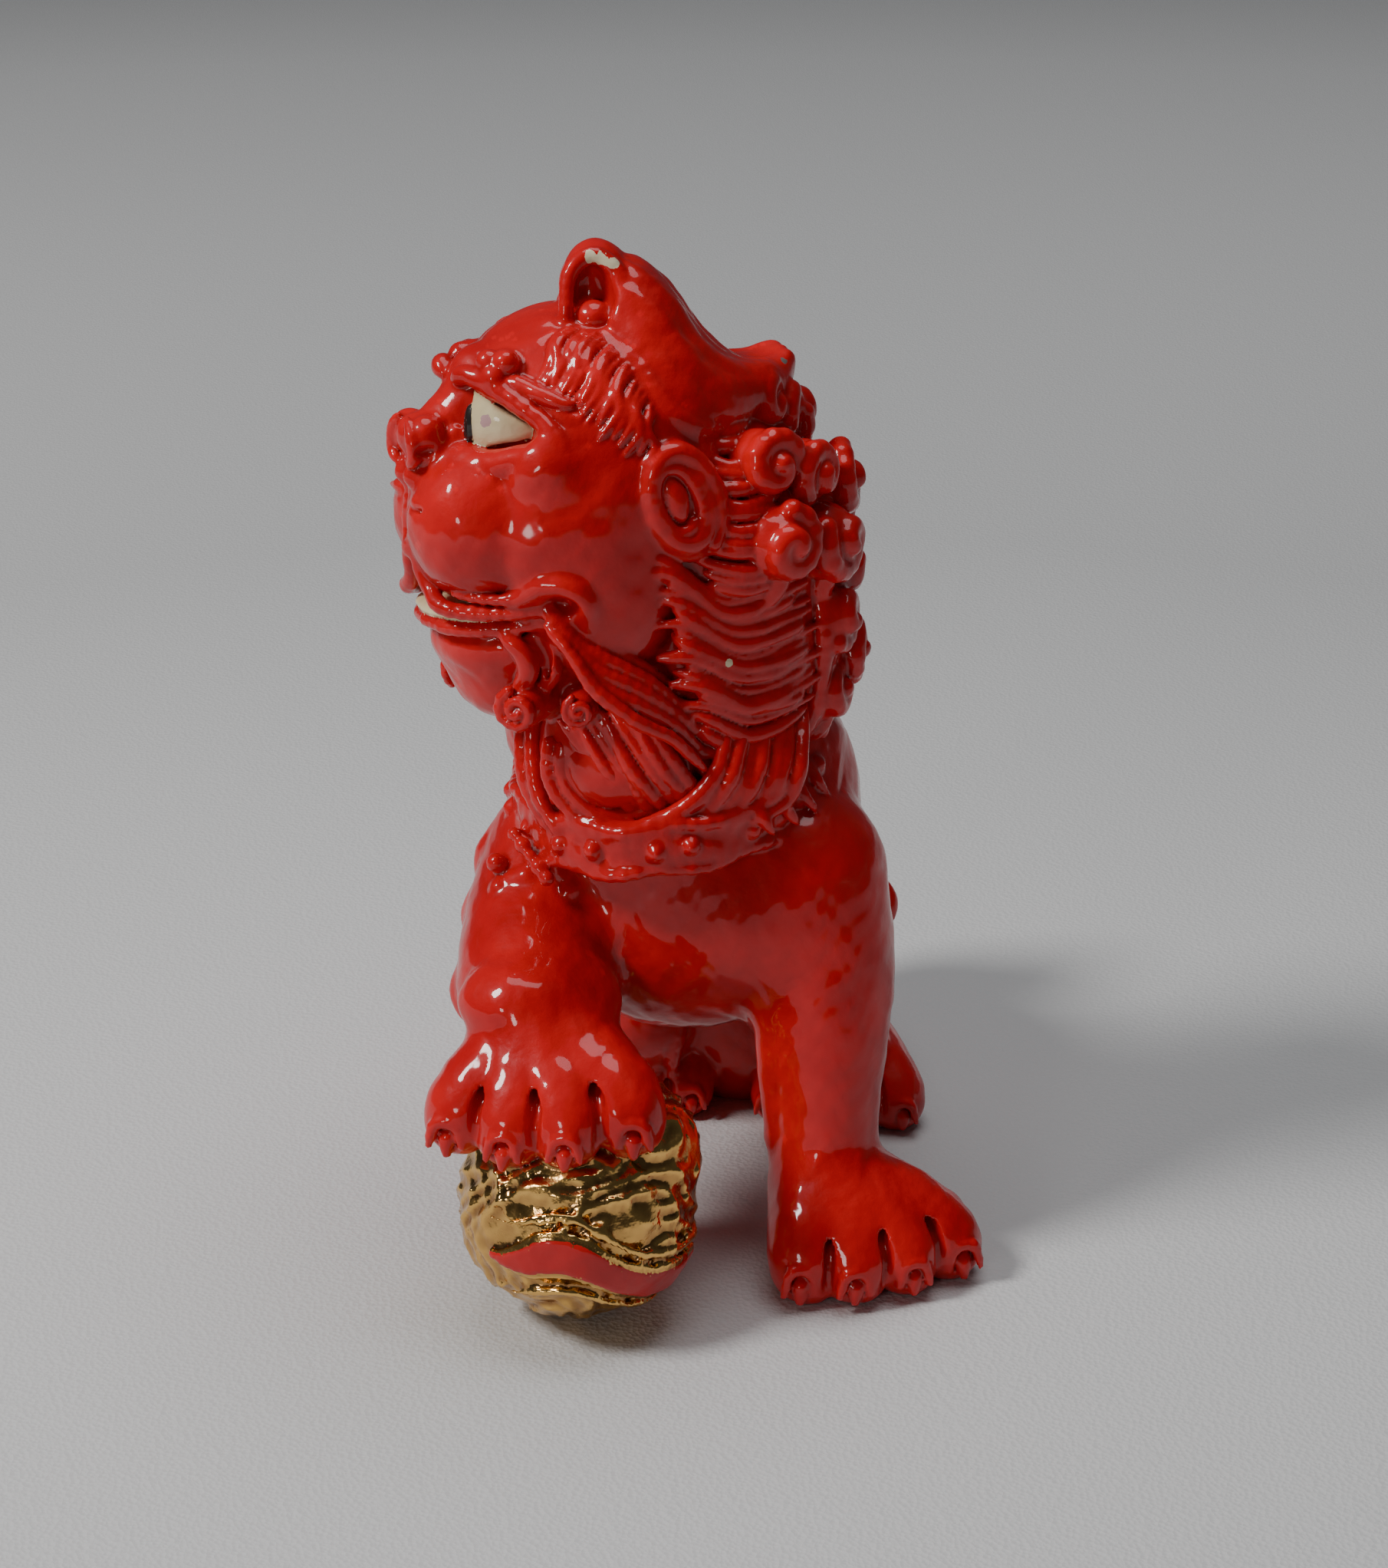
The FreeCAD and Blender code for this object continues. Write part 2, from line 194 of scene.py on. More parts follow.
class Block:
    """A block of space on a grid, in which pieces of clay meet."""

    def __init__(self, low, high, step, place):
        self.low, self.step, self.place = np.array(low, float), step, place
        self.size = np.ceil((np.array(high) - low) / step).astype(int) + 1
        self.pieces = {}

    def piece(self, name, melt):
        self.pieces[name] = Clay(melt)
        return self.pieces[name]

    def window(self, low, high):
        """The grid's first and last steps that hold a box."""
        a = np.clip(np.floor((low - self.low) / self.step).astype(int), 0, self.size - 2)
        b = np.clip(np.ceil((high - self.low) / self.step).astype(int) + 1, a + 2, self.size)
        return a, b

    def axes(self, a, b):
        """The places of the grid's points from step a to step b."""
        lines = [(self.low[i] + self.step * np.arange(a[i], b[i])).astype(np.float32) for i in range(3)]
        return np.meshgrid(*lines, indexing="ij", sparse=True)

    def bake(self, clay):
        """The piece's own distances, on the part of the grid that it reaches."""
        solid = [s for s in clay.steps if s[2] > 0]
        margin = max(3.0, clay.melt) + 1
        low = np.min([s[0][0] for s in solid], axis=0) - margin
        high = np.max([s[0][1] for s in solid], axis=0) + margin
        a, b = self.window(low, high)
        field = np.full(b - a, FAR, np.float32)
        for (box_low, box_high, distance), soft, sign in clay.steps:
            edge = margin if sign > 0 else soft + 0.5
            p, q = self.window(box_low - edge, box_high + edge)
            p, q = np.maximum(p, a), np.minimum(q, b)
            if (q <= p).any():
                continue
            view = field[tuple(slice(i, j) for i, j in zip(p - a, q - a))]
            near = distance(*self.axes(p, q)).astype(np.float32)
            other = near if sign > 0 else -near
            gap = np.maximum(soft - np.abs(view - other), 0) ** 2 / (4 * max(soft, 1e-6))
            view[...] = np.minimum(view, other) - gap if sign > 0 else np.maximum(view, other) + gap
        return a, b, field

    def unevenness(self):
        """The slight waviness that a hand leaves in clay."""
        x, y, z = self.axes(np.zeros(3, int), self.size)
        broad = np.sin(0.71 * x + 1.6 * np.sin(0.53 * z)) * np.sin(0.66 * y + 1.4 * np.sin(0.47 * x + 0.4))
        narrow = np.sin(1.7 * x + 1.2 * np.sin(1.3 * y)) * np.sin(1.5 * z + 1.1 * np.sin(1.2 * x))
        return (0.085 * broad + 0.045 * narrow).astype(np.float32)

    def part(self):
        """Melts the pieces together, then parts them again: yields (name, points, quads) in metres."""
        whole = np.full(self.size, FAR, np.float32)
        first, second = whole.copy(), whole.copy()
        baked = {name: self.bake(clay) for name, clay in self.pieces.items()}
        for name, (a, b, field) in baked.items():
            at = tuple(slice(i, j) for i, j in zip(a, b))
            melt = self.pieces[name].melt
            gap = np.maximum(melt - np.abs(whole[at] - field), 0) ** 2 / (4 * melt)
            whole[at] = np.minimum(whole[at], field) - gap
            second[at] = np.minimum(second[at], np.maximum(first[at], field))
            first[at] = np.minimum(first[at], field)
        whole += self.unevenness()
        for name, (a, b, field) in baked.items():
            at = tuple(slice(i, j) for i, j in zip(a, b))
            others = np.where(field <= first[at], second[at], first[at])
            side = (field - others) / 2
            under = np.clip(side / OVERLAP, 0, 1)
            skin = np.maximum(whole[at] + SINK * under ** 2, side - OVERLAP)
            yield name, *self.skin(skin, a)

    def skin(self, field, corner):
        """The surface where a field is 0: its points, placed in the frame in metres, and its quads."""
        field = np.pad(np.clip(field / self.step, -3, 3), 1, constant_values=3).astype(np.float32)
        grid = openvdb.FloatGrid(background=3.0)
        grid.copyFromArray(field)
        points, quads = grid.convertToQuads(isovalue=0.0)
        points = self.low + self.step * (points + corner - 1)
        turned = points @ np.array(self.place.to_3x3()).T + np.array(self.place.translation)
        return turned * MM, quads


# ---- the head -----------------------------------------------------------------------------------

def H(left, forward, up):
    """A place or a way on the head."""
    return np.array([left, -forward, up], float)


def blend(a, b, t):
    return np.array(a) * (1 - t) + np.array(b) * t


def slab(at, way):
    """Everything on the far side of a plane, as far as a piece's own box."""
    way = np.array(way, float) / np.linalg.norm(way)
    at = np.array(at, float)

    def distance(x, y, z):
        return -((x - at[0]) * way[0] + (y - at[1]) * way[1] + (z - at[2]) * way[2])

    return at - 30.0, at + 30.0, distance


MANE_EGGS = (((0, -16, -9), (18.8, 18.5, 18.5)), ((0, -17, -23), (18.2, 17.5, 19.0)),
             ((0, -12.5, -34), (16.5, 14.5, 12.5)))


def on_mane(turn, up, side=1):
    """The place on the mane, turn degrees round from the lion's side towards its back, and the way out."""
    angle = math.radians(turn)
    start, way = H(0, -16, up), H(math.cos(angle) * side, -math.sin(angle), 0)
    best = 2.0
    for centre, radii in MANE_EGGS:
        p, d = (start - H(*centre)) / radii, way / radii
        a, b, c = d @ d, p @ d, p @ p - 1
        inside = b * b - a * c
        if inside > 0:
            best = max(best, (-b + math.sqrt(inside)) / a)
    return start + way * best, way


def shape_skull(head):
    skull = head.piece("skull", 1.4)
    skull.add(egg(H(0, -3.5, 0.3), (19.2, 18.6, 20.2)), 0)
    skull.add(egg(H(0, 1, 7), (12.5, 12.5, 13.2)), 3)
    tops = smooth_curve([H(6.8, 0.4, 19.0), H(9.6, -2.4, 17.6), H(13.6, -4.0, 14.2), H(16.8, -5.6, 9.4)], 17)
    lows = smooth_curve([H(11.0, 7.6, 12.6), H(13.6, 5.2, 12.0), H(15.8, 3.4, 9.8), H(18.0, 0.8, 6.6),
                         H(19.0, -2.8, 3.4)], 17)
    for s in SIDES.values():
        skull.add(egg(H(9.9 * s, 3, -5.6), (8.6, 12, 10.6)), 4)
        skull.add(egg(H(9 * s, -1, -14), (9.6, 11, 11)), 4)
        skull.add(egg(H(13.8 * s, 7.6, 3.6), (3.6, 3.8, 3.6)), 3.5)
        mirror = np.array((s, 1, 1))
        for i, (top, low) in enumerate(zip(tops, lows)):
            middle = (top + low) / 2
            out = middle / np.linalg.norm(middle)
            wave = 0.5 * math.sin(2.4 * i)
            line = [top,
                    blend(top, low, 0.35) + out * 0.9 + H(0, 0.7 + wave, 0),
                    blend(top, low, 0.7) + out * 0.7 - H(0, 0.5 + 0.4 * wave, 0),
                    low - out * 0.3 + H(0, wave, -wave)]
            skull.add(lock(np.array(line) * mirror, 0.68 + 0.14 * math.sin(1.9 * i), 14, tip=0.3), 0.25)


def shape_muzzle(head):
    """Two lip pads with a rolled rim and a fold at each corner of the mouth, the left pad a little fuller."""
    muzzle = head.piece("muzzle", 0.9)
    muzzle.add(egg(H(0, 10.8, -4.0), (6.5, 10.0, 10.4)), 0)
    muzzle.add(egg(H(0, 14.0, 3.6), (6.0, 6.6, 4.6)), 3)
    for s in SIDES.values():
        muzzle.add(egg(H(4.9 * s, 11.6 + 0.6 * s, -4.4), (9.2, 9.9 + 0.2 * s, 10.2)), 1.2)
        rim = [H(0.8 * s, 19.9, 1.4), H(1.2 * s, 20.4, -3.6), H(1.6 * s, 20.4, -8.6),
               H(3.2 * s, 19.8, -12.0), H(6.6 * s, 19.2, -14.0), H(10.0 * s, 15.2, -14.5),
               H(13.0 * s, 10.6, -14.2), H(15.0 * s, 7.4, -13.0)]
        muzzle.add(lock(rim, 0.95, 26, tip=0.6), 0.5)
        upper = [p + H(1.1 * s, -0.5, 1.9) for p in rim[4:]]
        muzzle.add(lock(upper, 0.7, 12), 0.5)
        fold = [H(12.6 * s, 12.0, -12.8), H(15.4 * s, 9.6, -10.6), H(17.2 * s, 6.8, -10.8),
                H(17.4 * s, 4.6, -13.6), H(15.6 * s, 3.6, -17.0)]
        muzzle.add(lock(fold, 1.0, 14, tip=0.4), 1.4)
        for piece in (muzzle, head.pieces["skull"]):
            piece.cut(egg(H(16.6 * s, 8.0, -13.4), (2.4, 2.3, 1.5)), 1.0)
        muzzle.cut(rod(H(4.6 * s, 21.4 + 0.6 * s, -1.6), H(8.2 * s, 20.2, -1.9), 0.34, 0.2), 0.7)
        muzzle.add(rod(H(4.8 * s, 20.5 + 0.6 * s, -0.7), H(8.0 * s, 20.0, -1.0), 0.6, 0.4), 0.8)


def shape_nose(head):
    nose = head.piece("nose", 1.0)
    bridge = [H(0, 10, 12.6), H(0, 12.2, 9.2), H(0, 16, 7.0), H(0, 18.6, 6.2)]
    nose.add(limb(bridge, [4.4, 4.2, 3.3, 2.5], 12), 0)
    nose.add(ball(H(0, 19.4, 6.8), 2.3), 1.0)
    for s in SIDES.values():
        nose.add(egg(H(2.9 * s, 18.9, 6.4), (2.1, 2.5, 2.9)), 0.9)
        wing = [H(1.6 * s, 20.7, 9.0), H(3.4 * s, 20.9, 7.0), H(3.8 * s, 20.9, 4.4), H(2.4 * s, 21.3, 3.2)]
        nose.add(lock(wing, 0.85, 10), 0.35)
        nose.cut(egg(H(4.9 * s, 19.8, 5.0), (0.9, 1.4, 0.8)), 0.4)
        nose.add(egg(H(1.7 * s, 20.1, 1.7), (1.4, 1.6, 1.5)), 0.6)
        for k in range(4):
            grain = H((3.2 + 0.5 * k) * s, 16.6 - 1.2 * k, 6.0 + 0.3 * k + 0.8 * (k % 2))
            nose.add(ball(grain, 0.8), 0.6)
    nose.add(ball(H(0.2, 20.6, -7.4), 1.3), 0.8)


def shape_jaw(head):
    jaw = head.piece("lower_jaw", 0.8)
    jaw.add(egg(H(0, 7.8, -20), (11.2, 10.6, 6.2)), 0)
    jaw.add(egg(H(0, 8.2, -24.6), (8.6, 7.8, 6.4)), 2.5)
    jaw.add(egg(H(0, -1, -22), (12, 12, 8)), 4)
    jaw.cut(egg(H(0, 7, -15.4), (13.2, 11.2, 1.7)), 0.5)
    for s in SIDES.values():
        lip = [H(0, 19.4, -16.9), H(5.4 * s, 17.9, -17.0), H(10.0 * s, 13.0, -16.8), H(13.6 * s, 7.8, -15.6)]
        jaw.add(lock(lip, 0.9, 14, tip=0.8), 0.5)
        crease = [H(10.4 * s, 13.2, -17.6), H(11.6 * s, 11.2, -19.6), H(11.4 * s, 10.4, -22.4),
                  H(9.4 * s, 11.4, -25)]
        jaw.add(lock(crease, 1.0, 12), 0.9)
        jaw.add(lock([p + H(0.4 * s, -3.0, -0.6) for p in crease], 0.9, 12), 0.9)
        valley = [H(11.8 * s, 11.0, -17.2), H(12.6 * s, 8.6, -19.6), H(12.0 * s, 8.0, -23)]
        jaw.cut(lock(valley, 0.6, 10), 0.7)
    head.piece("teeth", 0.2).add(egg(H(0, 9.6, -15.4), (10.6, 10.4, 1.9)), 0)
    curls = head.piece("beard_curls", 0.6)
    for s in SIDES.values():
        for place, way, radius in ((H(9.6 * s, 10.2, -26.8), (0.72 * s, -0.7, -0.05), 3.4),
                                   (H(13.4 * s, 4.6, -27.2), (0.95 * s, -0.45, 0.0), 2.5)):
            way = np.array(way) / np.linalg.norm(way)
            curls.add(rod(place - way * 4, place + way * 0.4, radius, radius * 0.8), 0.6)
            curls.add(coil(place + way * radius * 0.8, way, radius * 0.8, hand=s, rise=0.25, start=2.0,
                           thick=0.27), 0.25)


def shape_eyes(head):
    """Each eye is a ball trimmed to a three-cornered window, in a hollow between brow and cheek."""
    for name, s in SIDES.items():
        top, low, back = H(5.0 * s, 13.2, 12.5), H(5.3 * s, 13.4, 5.1), H(11.8 * s, 6.4, 7.0)
        look = H(0.74 * s, 0.67, 0.02)
        middle = (top + low + back) / 3 - look * 4.7
        head.pieces["skull"].cut(egg(middle + look * 8.4, (5.8, 5.8, 5.4)), 1.2)
        eye = head.piece(f"eye_{name}", 0.2)
        eye.add(ball(middle, 6.9), 0)
        for a, b in ((low, top), (top, back), (back, low)):
            way = np.cross(b - a, look)
            eye.cut(slab(a, way * np.sign(way @ (a - middle))), 0.4)
        across, up, out = basis(blend(top, low, 0.5) + look * 0.6 - middle)
        pupil = head.piece(f"pupil_{name}", 0.15)
        pupil.add(egg(middle + out * 6.45 - up * 0.5, (0.95, 2.3, 0.8), np.array([across, up, out]).T), 0)
        brow = head.piece(f"brow_{name}", 0.7)
        knot = H(6.2 * s, 9.4 + 0.5 * s, 13.6 + 0.5 * s)
        brow.add(egg(knot, (2.9 - 0.2 * s, 2.9 - 0.2 * s, 3.0 - 0.2 * s)), 0)
        across, up, out = basis(H(0.6 * s, 0.62, 0.5))
        for i in range(3):
            angle = 2.0944 * i + 0.5          # a third of a turn each
            petal = knot + out * 1.7 + across * 1.3 * math.cos(angle) + up * 1.3 * math.sin(angle)
            brow.add(egg(petal, (1.7, 1.7, 1.7)), 0.35)
        lid = [H(2.6 * s, 14.4, 13.4), H(4.6 * s, 13.6, 14.0), H(8.4 * s, 11.2, 12.3), H(13.1 * s, 8.0, 9.2),
               H(16.0 * s, 6.3, 6.2)]
        brow.add(lock(lid, 1.15, 16, tip=0.6), 0.8)
        ridge = [H(7.6 * s, 10.8, 13.6), H(9.9 * s, 8.9, 12.9), H(12.6 * s, 6.9, 11.7),
                 H(14.8 * s, 4.5, 10.8)]
        brow.add(lock(ridge, 1.05, 14), 0.35)
        brow.add(lock([p + H(0.5 * s, -0.6, -1.8) for p in ridge], 0.8, 14), 0.3)
        under = [H(4.6 * s, 15.4, 4.6), H(7.8 * s, 14.2, 3.6), H(12.0 * s, 11.2, 4.2), H(14.9 * s, 8.2, 5.6)]
        brow.add(lock(under, 1.2, 14, tip=0.6), 1.6)


def shape_ears(head):
    """Each ear winds in from a broad outer rim, over an inner ring, to a lobe set forward in the dish."""
    for name, s in SIDES.items():
        ear = head.piece(f"ear_{name}", 0.7)
        middle = H(18.2 * s, -7.8, -1.8)
        across, up, out = basis((s, 0.02, 0.04), (0, -0.34, 1))
        turn = np.array([across, up, out]).T
        ear.add(egg(middle, (5.3, 7.9, 2.4), turn), 0)

        def ring(centre, wide, tall, lift, begin, sweep, thin, thick):
            """A strand wound round the dish, from begin over sweep degrees, that draws in as it goes."""
            t = np.linspace(0, 1, 30)
            angle = math.radians(begin) + math.radians(sweep) * t
            shrink = 1 - thin * t
            line = (middle + out * lift + across * centre[0] * s + up * centre[1]
                    + np.outer(-s * wide * shrink * np.cos(angle), across)
                    + np.outer(tall * shrink * np.sin(angle), up))
            swell = np.sin(math.pi * np.minimum(t * 1.6 + 0.1, 0.5 + 0.3 * t))
            return rods(line, thick * (0.55 + 0.45 * swell))

        ear.cut(egg(middle + out * 3.0 - across * 0.8 * s, (3.8, 5.9, 1.9), turn), 0.5)
        ear.add(ring((0.0, 0.0), 4.8, 7.3, 1.0, -118, -470, 0.42, 1.15), 0.9)
        ear.add(ring((0.2, -0.1), 3.9, 6.3, 1.5, 60, 190, -0.1, 0.75), 0.4)
        ear.add(ring((-0.9, 0.5), 3.2, 5.2, 1.6, -80, -400, 0.3, 0.75), 0.25)
        ear.add(egg(middle + out * 1.5 - across * 0.9 * s + up * 0.9, (1.5, 2.9, 1.1), turn), 0.3)


def shape_horn(head):
    """One horn: a hood that opens beside a bead, then a broad smooth back that ends in a blunt hook."""
    head.piece("horn_bead", 0.3).add(ball(H(6.0, -2.4, 19.5), 2.3), 0)
    horn = head.piece("horn", 0.9)
    horn.add(egg(H(2.4, -4.6, 22.6), (5.4, 4.6, 6.0)), 0)
    spine = smooth_curve([H(2.2, -8.2, 22.8), H(2.4, -10.9, 20.2), H(2.6, -13.8, 16.0),
                          H(3.0, -17.0, 12.2), H(3.4, -21.0, 9.2), H(3.4, -25.2, 8.4),
                          H(3.0, -28.2, 9.4), H(2.8, -29.6, 11.2)], 26)
    thick = smooth_curve([(3.4,), (3.6,), (3.6,), (3.5,), (3.4,), (2.9,), (1.9,), (1.0,)], 26)[:, 0]
    edge = [H(8.2, -3.4, 18.0), H(12.4, -5.2, 14.9), H(15.9, -7.0, 10.2), H(16.4, -10.6, 6.8),
            H(12.2, -17.6, 5.8), H(6.4, -24.2, 7.4), H(3.4, -28.4, 9.4)]
    for s in SIDES.values():
        hem = smooth_curve(np.array(edge) * (s, 1, 1), 26)
        for middle, side, size in zip(spine, hem, thick):
            lift = min(1.0, np.linalg.norm(side - middle) / 8)
            arch = (middle + side) / 2 + np.array((0.8 * s, 0.8, 2.0)) * lift
            horn.add(limb([middle, arch, side], [size, 0.8 * size, 0.9], 6), 0.9)
        horn.add(lock(hem, 1.0, 30, tip=0.7), 0.5)
    horn.cut(egg(H(7.6, -2.0, 23.0), (4.4, 2.7, 4.2)), 0.5)
    horn.cut(ball(H(6.4, -1.8, 19.6), 2.9), 0.4)
    rim = [H(6.2, 1.2, 17.2), H(5.8, 1.0, 21.2), H(5.0, -0.2, 25.4), H(5.4, -3.2, 27.0), H(7.0, -5.8, 24.6),
           H(8.0, -5.6, 20.8), H(8.6, -4.0, 18.0)]
    horn.add(lock(rim, 0.95, 24, tip=0.6), 0.4)


# Curls on the mane: how far round in degrees, how high, and how large.
BACK_CURLS = ((14, 1.0, 4.6), (13, -8.4, 4.9), (42, -10, 5.2), (38, -1, 4.3), (46, 7, 4.2), (68, 6, 4.4),
              (64, -4, 4.8), (66, -15, 5.0), (50, -20.5, 4.2), (69, -26, 4.8), (54, -31, 4.0), (72, -36, 4.0))
SPINE_CURLS = ((88, 4, 4.6), (90, -7, 5.0), (92, -19, 5.2), (88, -30, 4.8))


def shape_mane(head):
    mane = head.piece("mane", 1.0)
    for i, (centre, radii) in enumerate(MANE_EGGS):
        mane.add(egg(H(*centre), radii), 4 * min(i, 1))
    for s in SIDES.values():
        for i in range(22):
            turn = 42 + 50 * i / 21
            wave = 0.9 * math.sin(2.1 * i)
            line = []
            for up, lift in ((-14 + wave, -0.5), (-21, 0.9), (-28 + wave, 0.4), (-34, 1.2),
                             (-41.5 + 1.5 * wave, 1.6)):
                place, out = on_mane(turn + 2.2 * math.sin(0.35 * up + i), up, s)
                line.append(place + out * lift)
            mane.add(lock(line, 1.25, 18, tip=0.5), 0.2)
        mane.add(egg(H(6 * s, -2, -35), (9, 9, 10)), 4)
        for i in range(10):
            t = i / 9
            start = H((16.2 - 5.2 * t) * s, -2.0 + 8.5 * t, -27.6 - 1.6 * t)
            end = H((14.2 - 3.4 * t) * s, -13.5 + 9.5 * t, -44.5 + 0.8 * math.sin(3 * i))
            bulge = H(2.6 * s, 1.2, 0) * math.sin(math.pi * (0.3 + 0.5 * t))
            middle = blend(start, end, 0.4) + bulge + H(0, 0.8 * math.sin(2.0 * i), 0)
            line = [start, middle, blend(middle, end, 0.55) + bulge * 0.6, end]
            mane.add(lock(line, 1.02, 16, tip=0.4), 0.15)


def shape_curls(head):
    curls = head.piece("mane_curls", 0.5)
    for s in SIDES.values():
        for i, (turn, up, radius) in enumerate(BACK_CURLS + (SPINE_CURLS if s > 0 else ())):
            place, out = on_mane(turn, up, s)
            curls.add(ball(place + out * 0.2, radius * 0.95), 1.2)
            curls.add(coil(place + out * radius * 0.5, out, radius * 0.88, hand=s * (-1) ** i, start=1.3 * i,
                           turns=1.2, rise=0.5, thick=0.36), 0.7)
            tail = [place + out * radius * 0.4, place + out * 0.8 + H(0, 0, -radius * 0.9),
                    place + out * 0.6 + H(-0.8 * s, 1.4, -radius * 1.6)]
            curls.add(lock(tail, radius * 0.3, 8), 0.3)
    for s in SIDES.values():
        for i in range(13):
            up = 6.0 - 1.55 * i
            start, way = on_mane(-16 + 2.2 * math.sin(1.7 * i), up, s)
            middle, _ = on_mane(0, up - 1.2 + 0.5 * math.sin(2.3 * i), s)
            end, _ = on_mane(20 + 4 * math.sin(1.9 * i), up - 0.6, s)
            curls.add(lock([start + way * 0.6, middle + way * 1.3, end + way * 0.9], 1.0, 12, tip=0.4), 0.2)


def shape_cheeks(head):
    for name, s in SIDES.items():
        locks = head.piece(f"cheek_locks_{name}", 0.5)
        fronts = smooth_curve([H(17.6, -6.6, -9.6), H(17.8, -8.2, -16), H(17.8, -9.4, -23),
                               H(17.2, -11.4, -30), H(13.8, -11.4, -43)], 21)
        backs = smooth_curve([H(16.4, -24.0, -14.0), H(15.6, -26.0, -20), H(14.8, -26.6, -26),
                              H(14.4, -25.6, -32), H(11.6, -22.4, -42)], 21)
        mirror = np.array((s, 1, 1))
        for i, (front, back) in enumerate(zip(fronts, backs)):
            wave = 1.2 * math.sin(2.3 * i)
            sag = H(0, 0, 3.4 - 0.1 * i + 0.5 * math.sin(1.3 * i))
            bulge = H(1.3, 0, 0)
            line = [front + H(-0.4, 2.8 + 1.4 * wave, 1.2 - 0.8 * wave),
                    front + H(0.9, 0.6, 0.2),
                    blend(front, back, 0.3) - sag + bulge * 0.75,
                    blend(front, back, 0.55) - sag * 0.85 + bulge,
                    blend(front, back, 0.8) - sag * 0.25 + bulge * 0.7 + H(0, wave * 0.5, 0),
                    back + H(0, -wave, 0.6)]
            locks.add(lock(np.array(line) * mirror, 1.0 + 0.24 * math.sin(1.7 * i), 22, tip=0.45), 0.12)
        whisker = head.piece(f"whisker_{name}", 0.6)
        middle = [H(14.6, 8.6, -14.6), H(16.6, 6.4, -18.0), H(17.4, 3.6, -21.2), H(18.0, -1.6, -25.4),
                  H(17.4, -6.6, -29.0), H(16.2, -11.4, -32.6)]
        for i in range(5):
            shift = 1.25 * (i - 2)
            fan = np.linspace(0.5, 1.5, len(middle))
            way = H(-0.3 * abs(i - 2), -0.45, 0.9)
            curve = [p + way * shift * f + H(0, 0, 0.7 * math.sin(1.9 * j + 0.8 * i))
                     for j, (p, f) in enumerate(zip(middle, fan))]
            whisker.add(lock(np.array(curve) * mirror, 1.15 - 0.1 * abs(i - 2), 20, tip=0.5), 0.2)


HEAD_SHAPES = [shape_skull, shape_muzzle, shape_nose, shape_jaw, shape_eyes, shape_ears, shape_horn,
               shape_mane, shape_curls, shape_cheeks]


# ---- the body -----------------------------------------------------------------------------------

def shape_torso(body):
    torso = body.piece("torso", 2.6)
    torso.add(egg((1.5, 46, 18), (18, 17, 24)), 0)
    torso.add(egg((0, 32, 38), (19.5, 26, 16)), 8)
    torso.add(egg((-2.2, 6, 47.5), (22.4, 19.6, 19.6)), 7)
    torso.add(egg((-4.4, 5.5, 64), (18.8, 18, 18)), 6)
    torso.add(egg((6.4, 13, 58), (14, 15, 17)), 6)
    torso.add(egg((8.4, 1, 48), (12.6, 13, 13)), 5)
    torso.add(lock([(0.5, 56, 44), (-0.5, 40, 55), (-1.5, 26, 62)], 1.8, 14), 2.5)


def shape_forelegs(body):
    left = body.piece("foreleg_left", 3.0)
    left.add(limb([(14, 1, 52), (16.4, -1.5, 41), (17.8, -4.6, 31), (18.6, -7.2, 22), (18.7, -8.4, 15)],
                  [11.4, 10.2, 8.6, 7.0, 7.0], 44), 0.2)
    left.add(egg((19.2, 0, 37), (5.6, 7, 12)), 4)
    inner = [(10.4, -7.5, 40), (11.4, -8.6, 33), (12.0, -8.6, 25), (12.6, -9.4, 16)]
    left.add(lock(inner, 1.3, 14, tip=0.6), 2.0)
    right = body.piece("foreleg_right", 3.0)
    right.add(limb([(-17.0, 1, 52), (-18.6, -5, 46), (-18.8, -12, 42), (-17.4, -18.4, 39.6),
                    (-15.6, -23.5, 37)], [11.0, 10.8, 10.4, 9.6, 8.6], 44), 0.2)
    right.add(egg((-18.6, -23.4, 42.4), (8.4, 6.8, 5.8)), 1.2)
    right.add(egg((-24.2, -16, 40.0), (4.0, 5.0, 5.0)), 1.6)
    right.add(egg((-11.8, -19.0, 41.0), (5.0, 5.5, 4.6)), 1.8)
    for i in range(16):
        across, down = math.sin(2.4 * i), i / 15
        place = (-19.5 + 5.0 * across, -10.0 - 3.6 * down - 0.8 * across, 56.6 - 8.6 * down)
        right.add(ball(place, 1.05 + 0.3 * math.sin(3.7 * i)), 0.8)
    for name, places in (("right", [(-27.6, 0, 51.5), (-28.6, -4.5, 45.0), (-28.4, -13.0, 38.6)]),
                         ("left", [(24.4, 9, 44), (23.8, 5, 36), (22.4, 1, 28)])):
        s = SIDES[name]
        tufts = body.piece(f"foreleg_{name}_curls", 1.2)
        for x, y, z in places:
            tufts.add(egg((x - 1.4 * s, y, z), (2.6, 3.2, 3.4)), 0.8)
            tuft = [(x - 2 * s, y + 1, z + 4.5), (x + 0.3 * s, y, z + 0.5), (x - 1.2 * s, y - 1.5, z - 4)]
            tufts.add(lock(tuft, 1.5, 10), 0.7)


ALONG_X = np.array((1.0, 0.0, 0.0))
GROUND_PAW = 10.0         # a paw with its toes lower than this stands on the ground, in mm


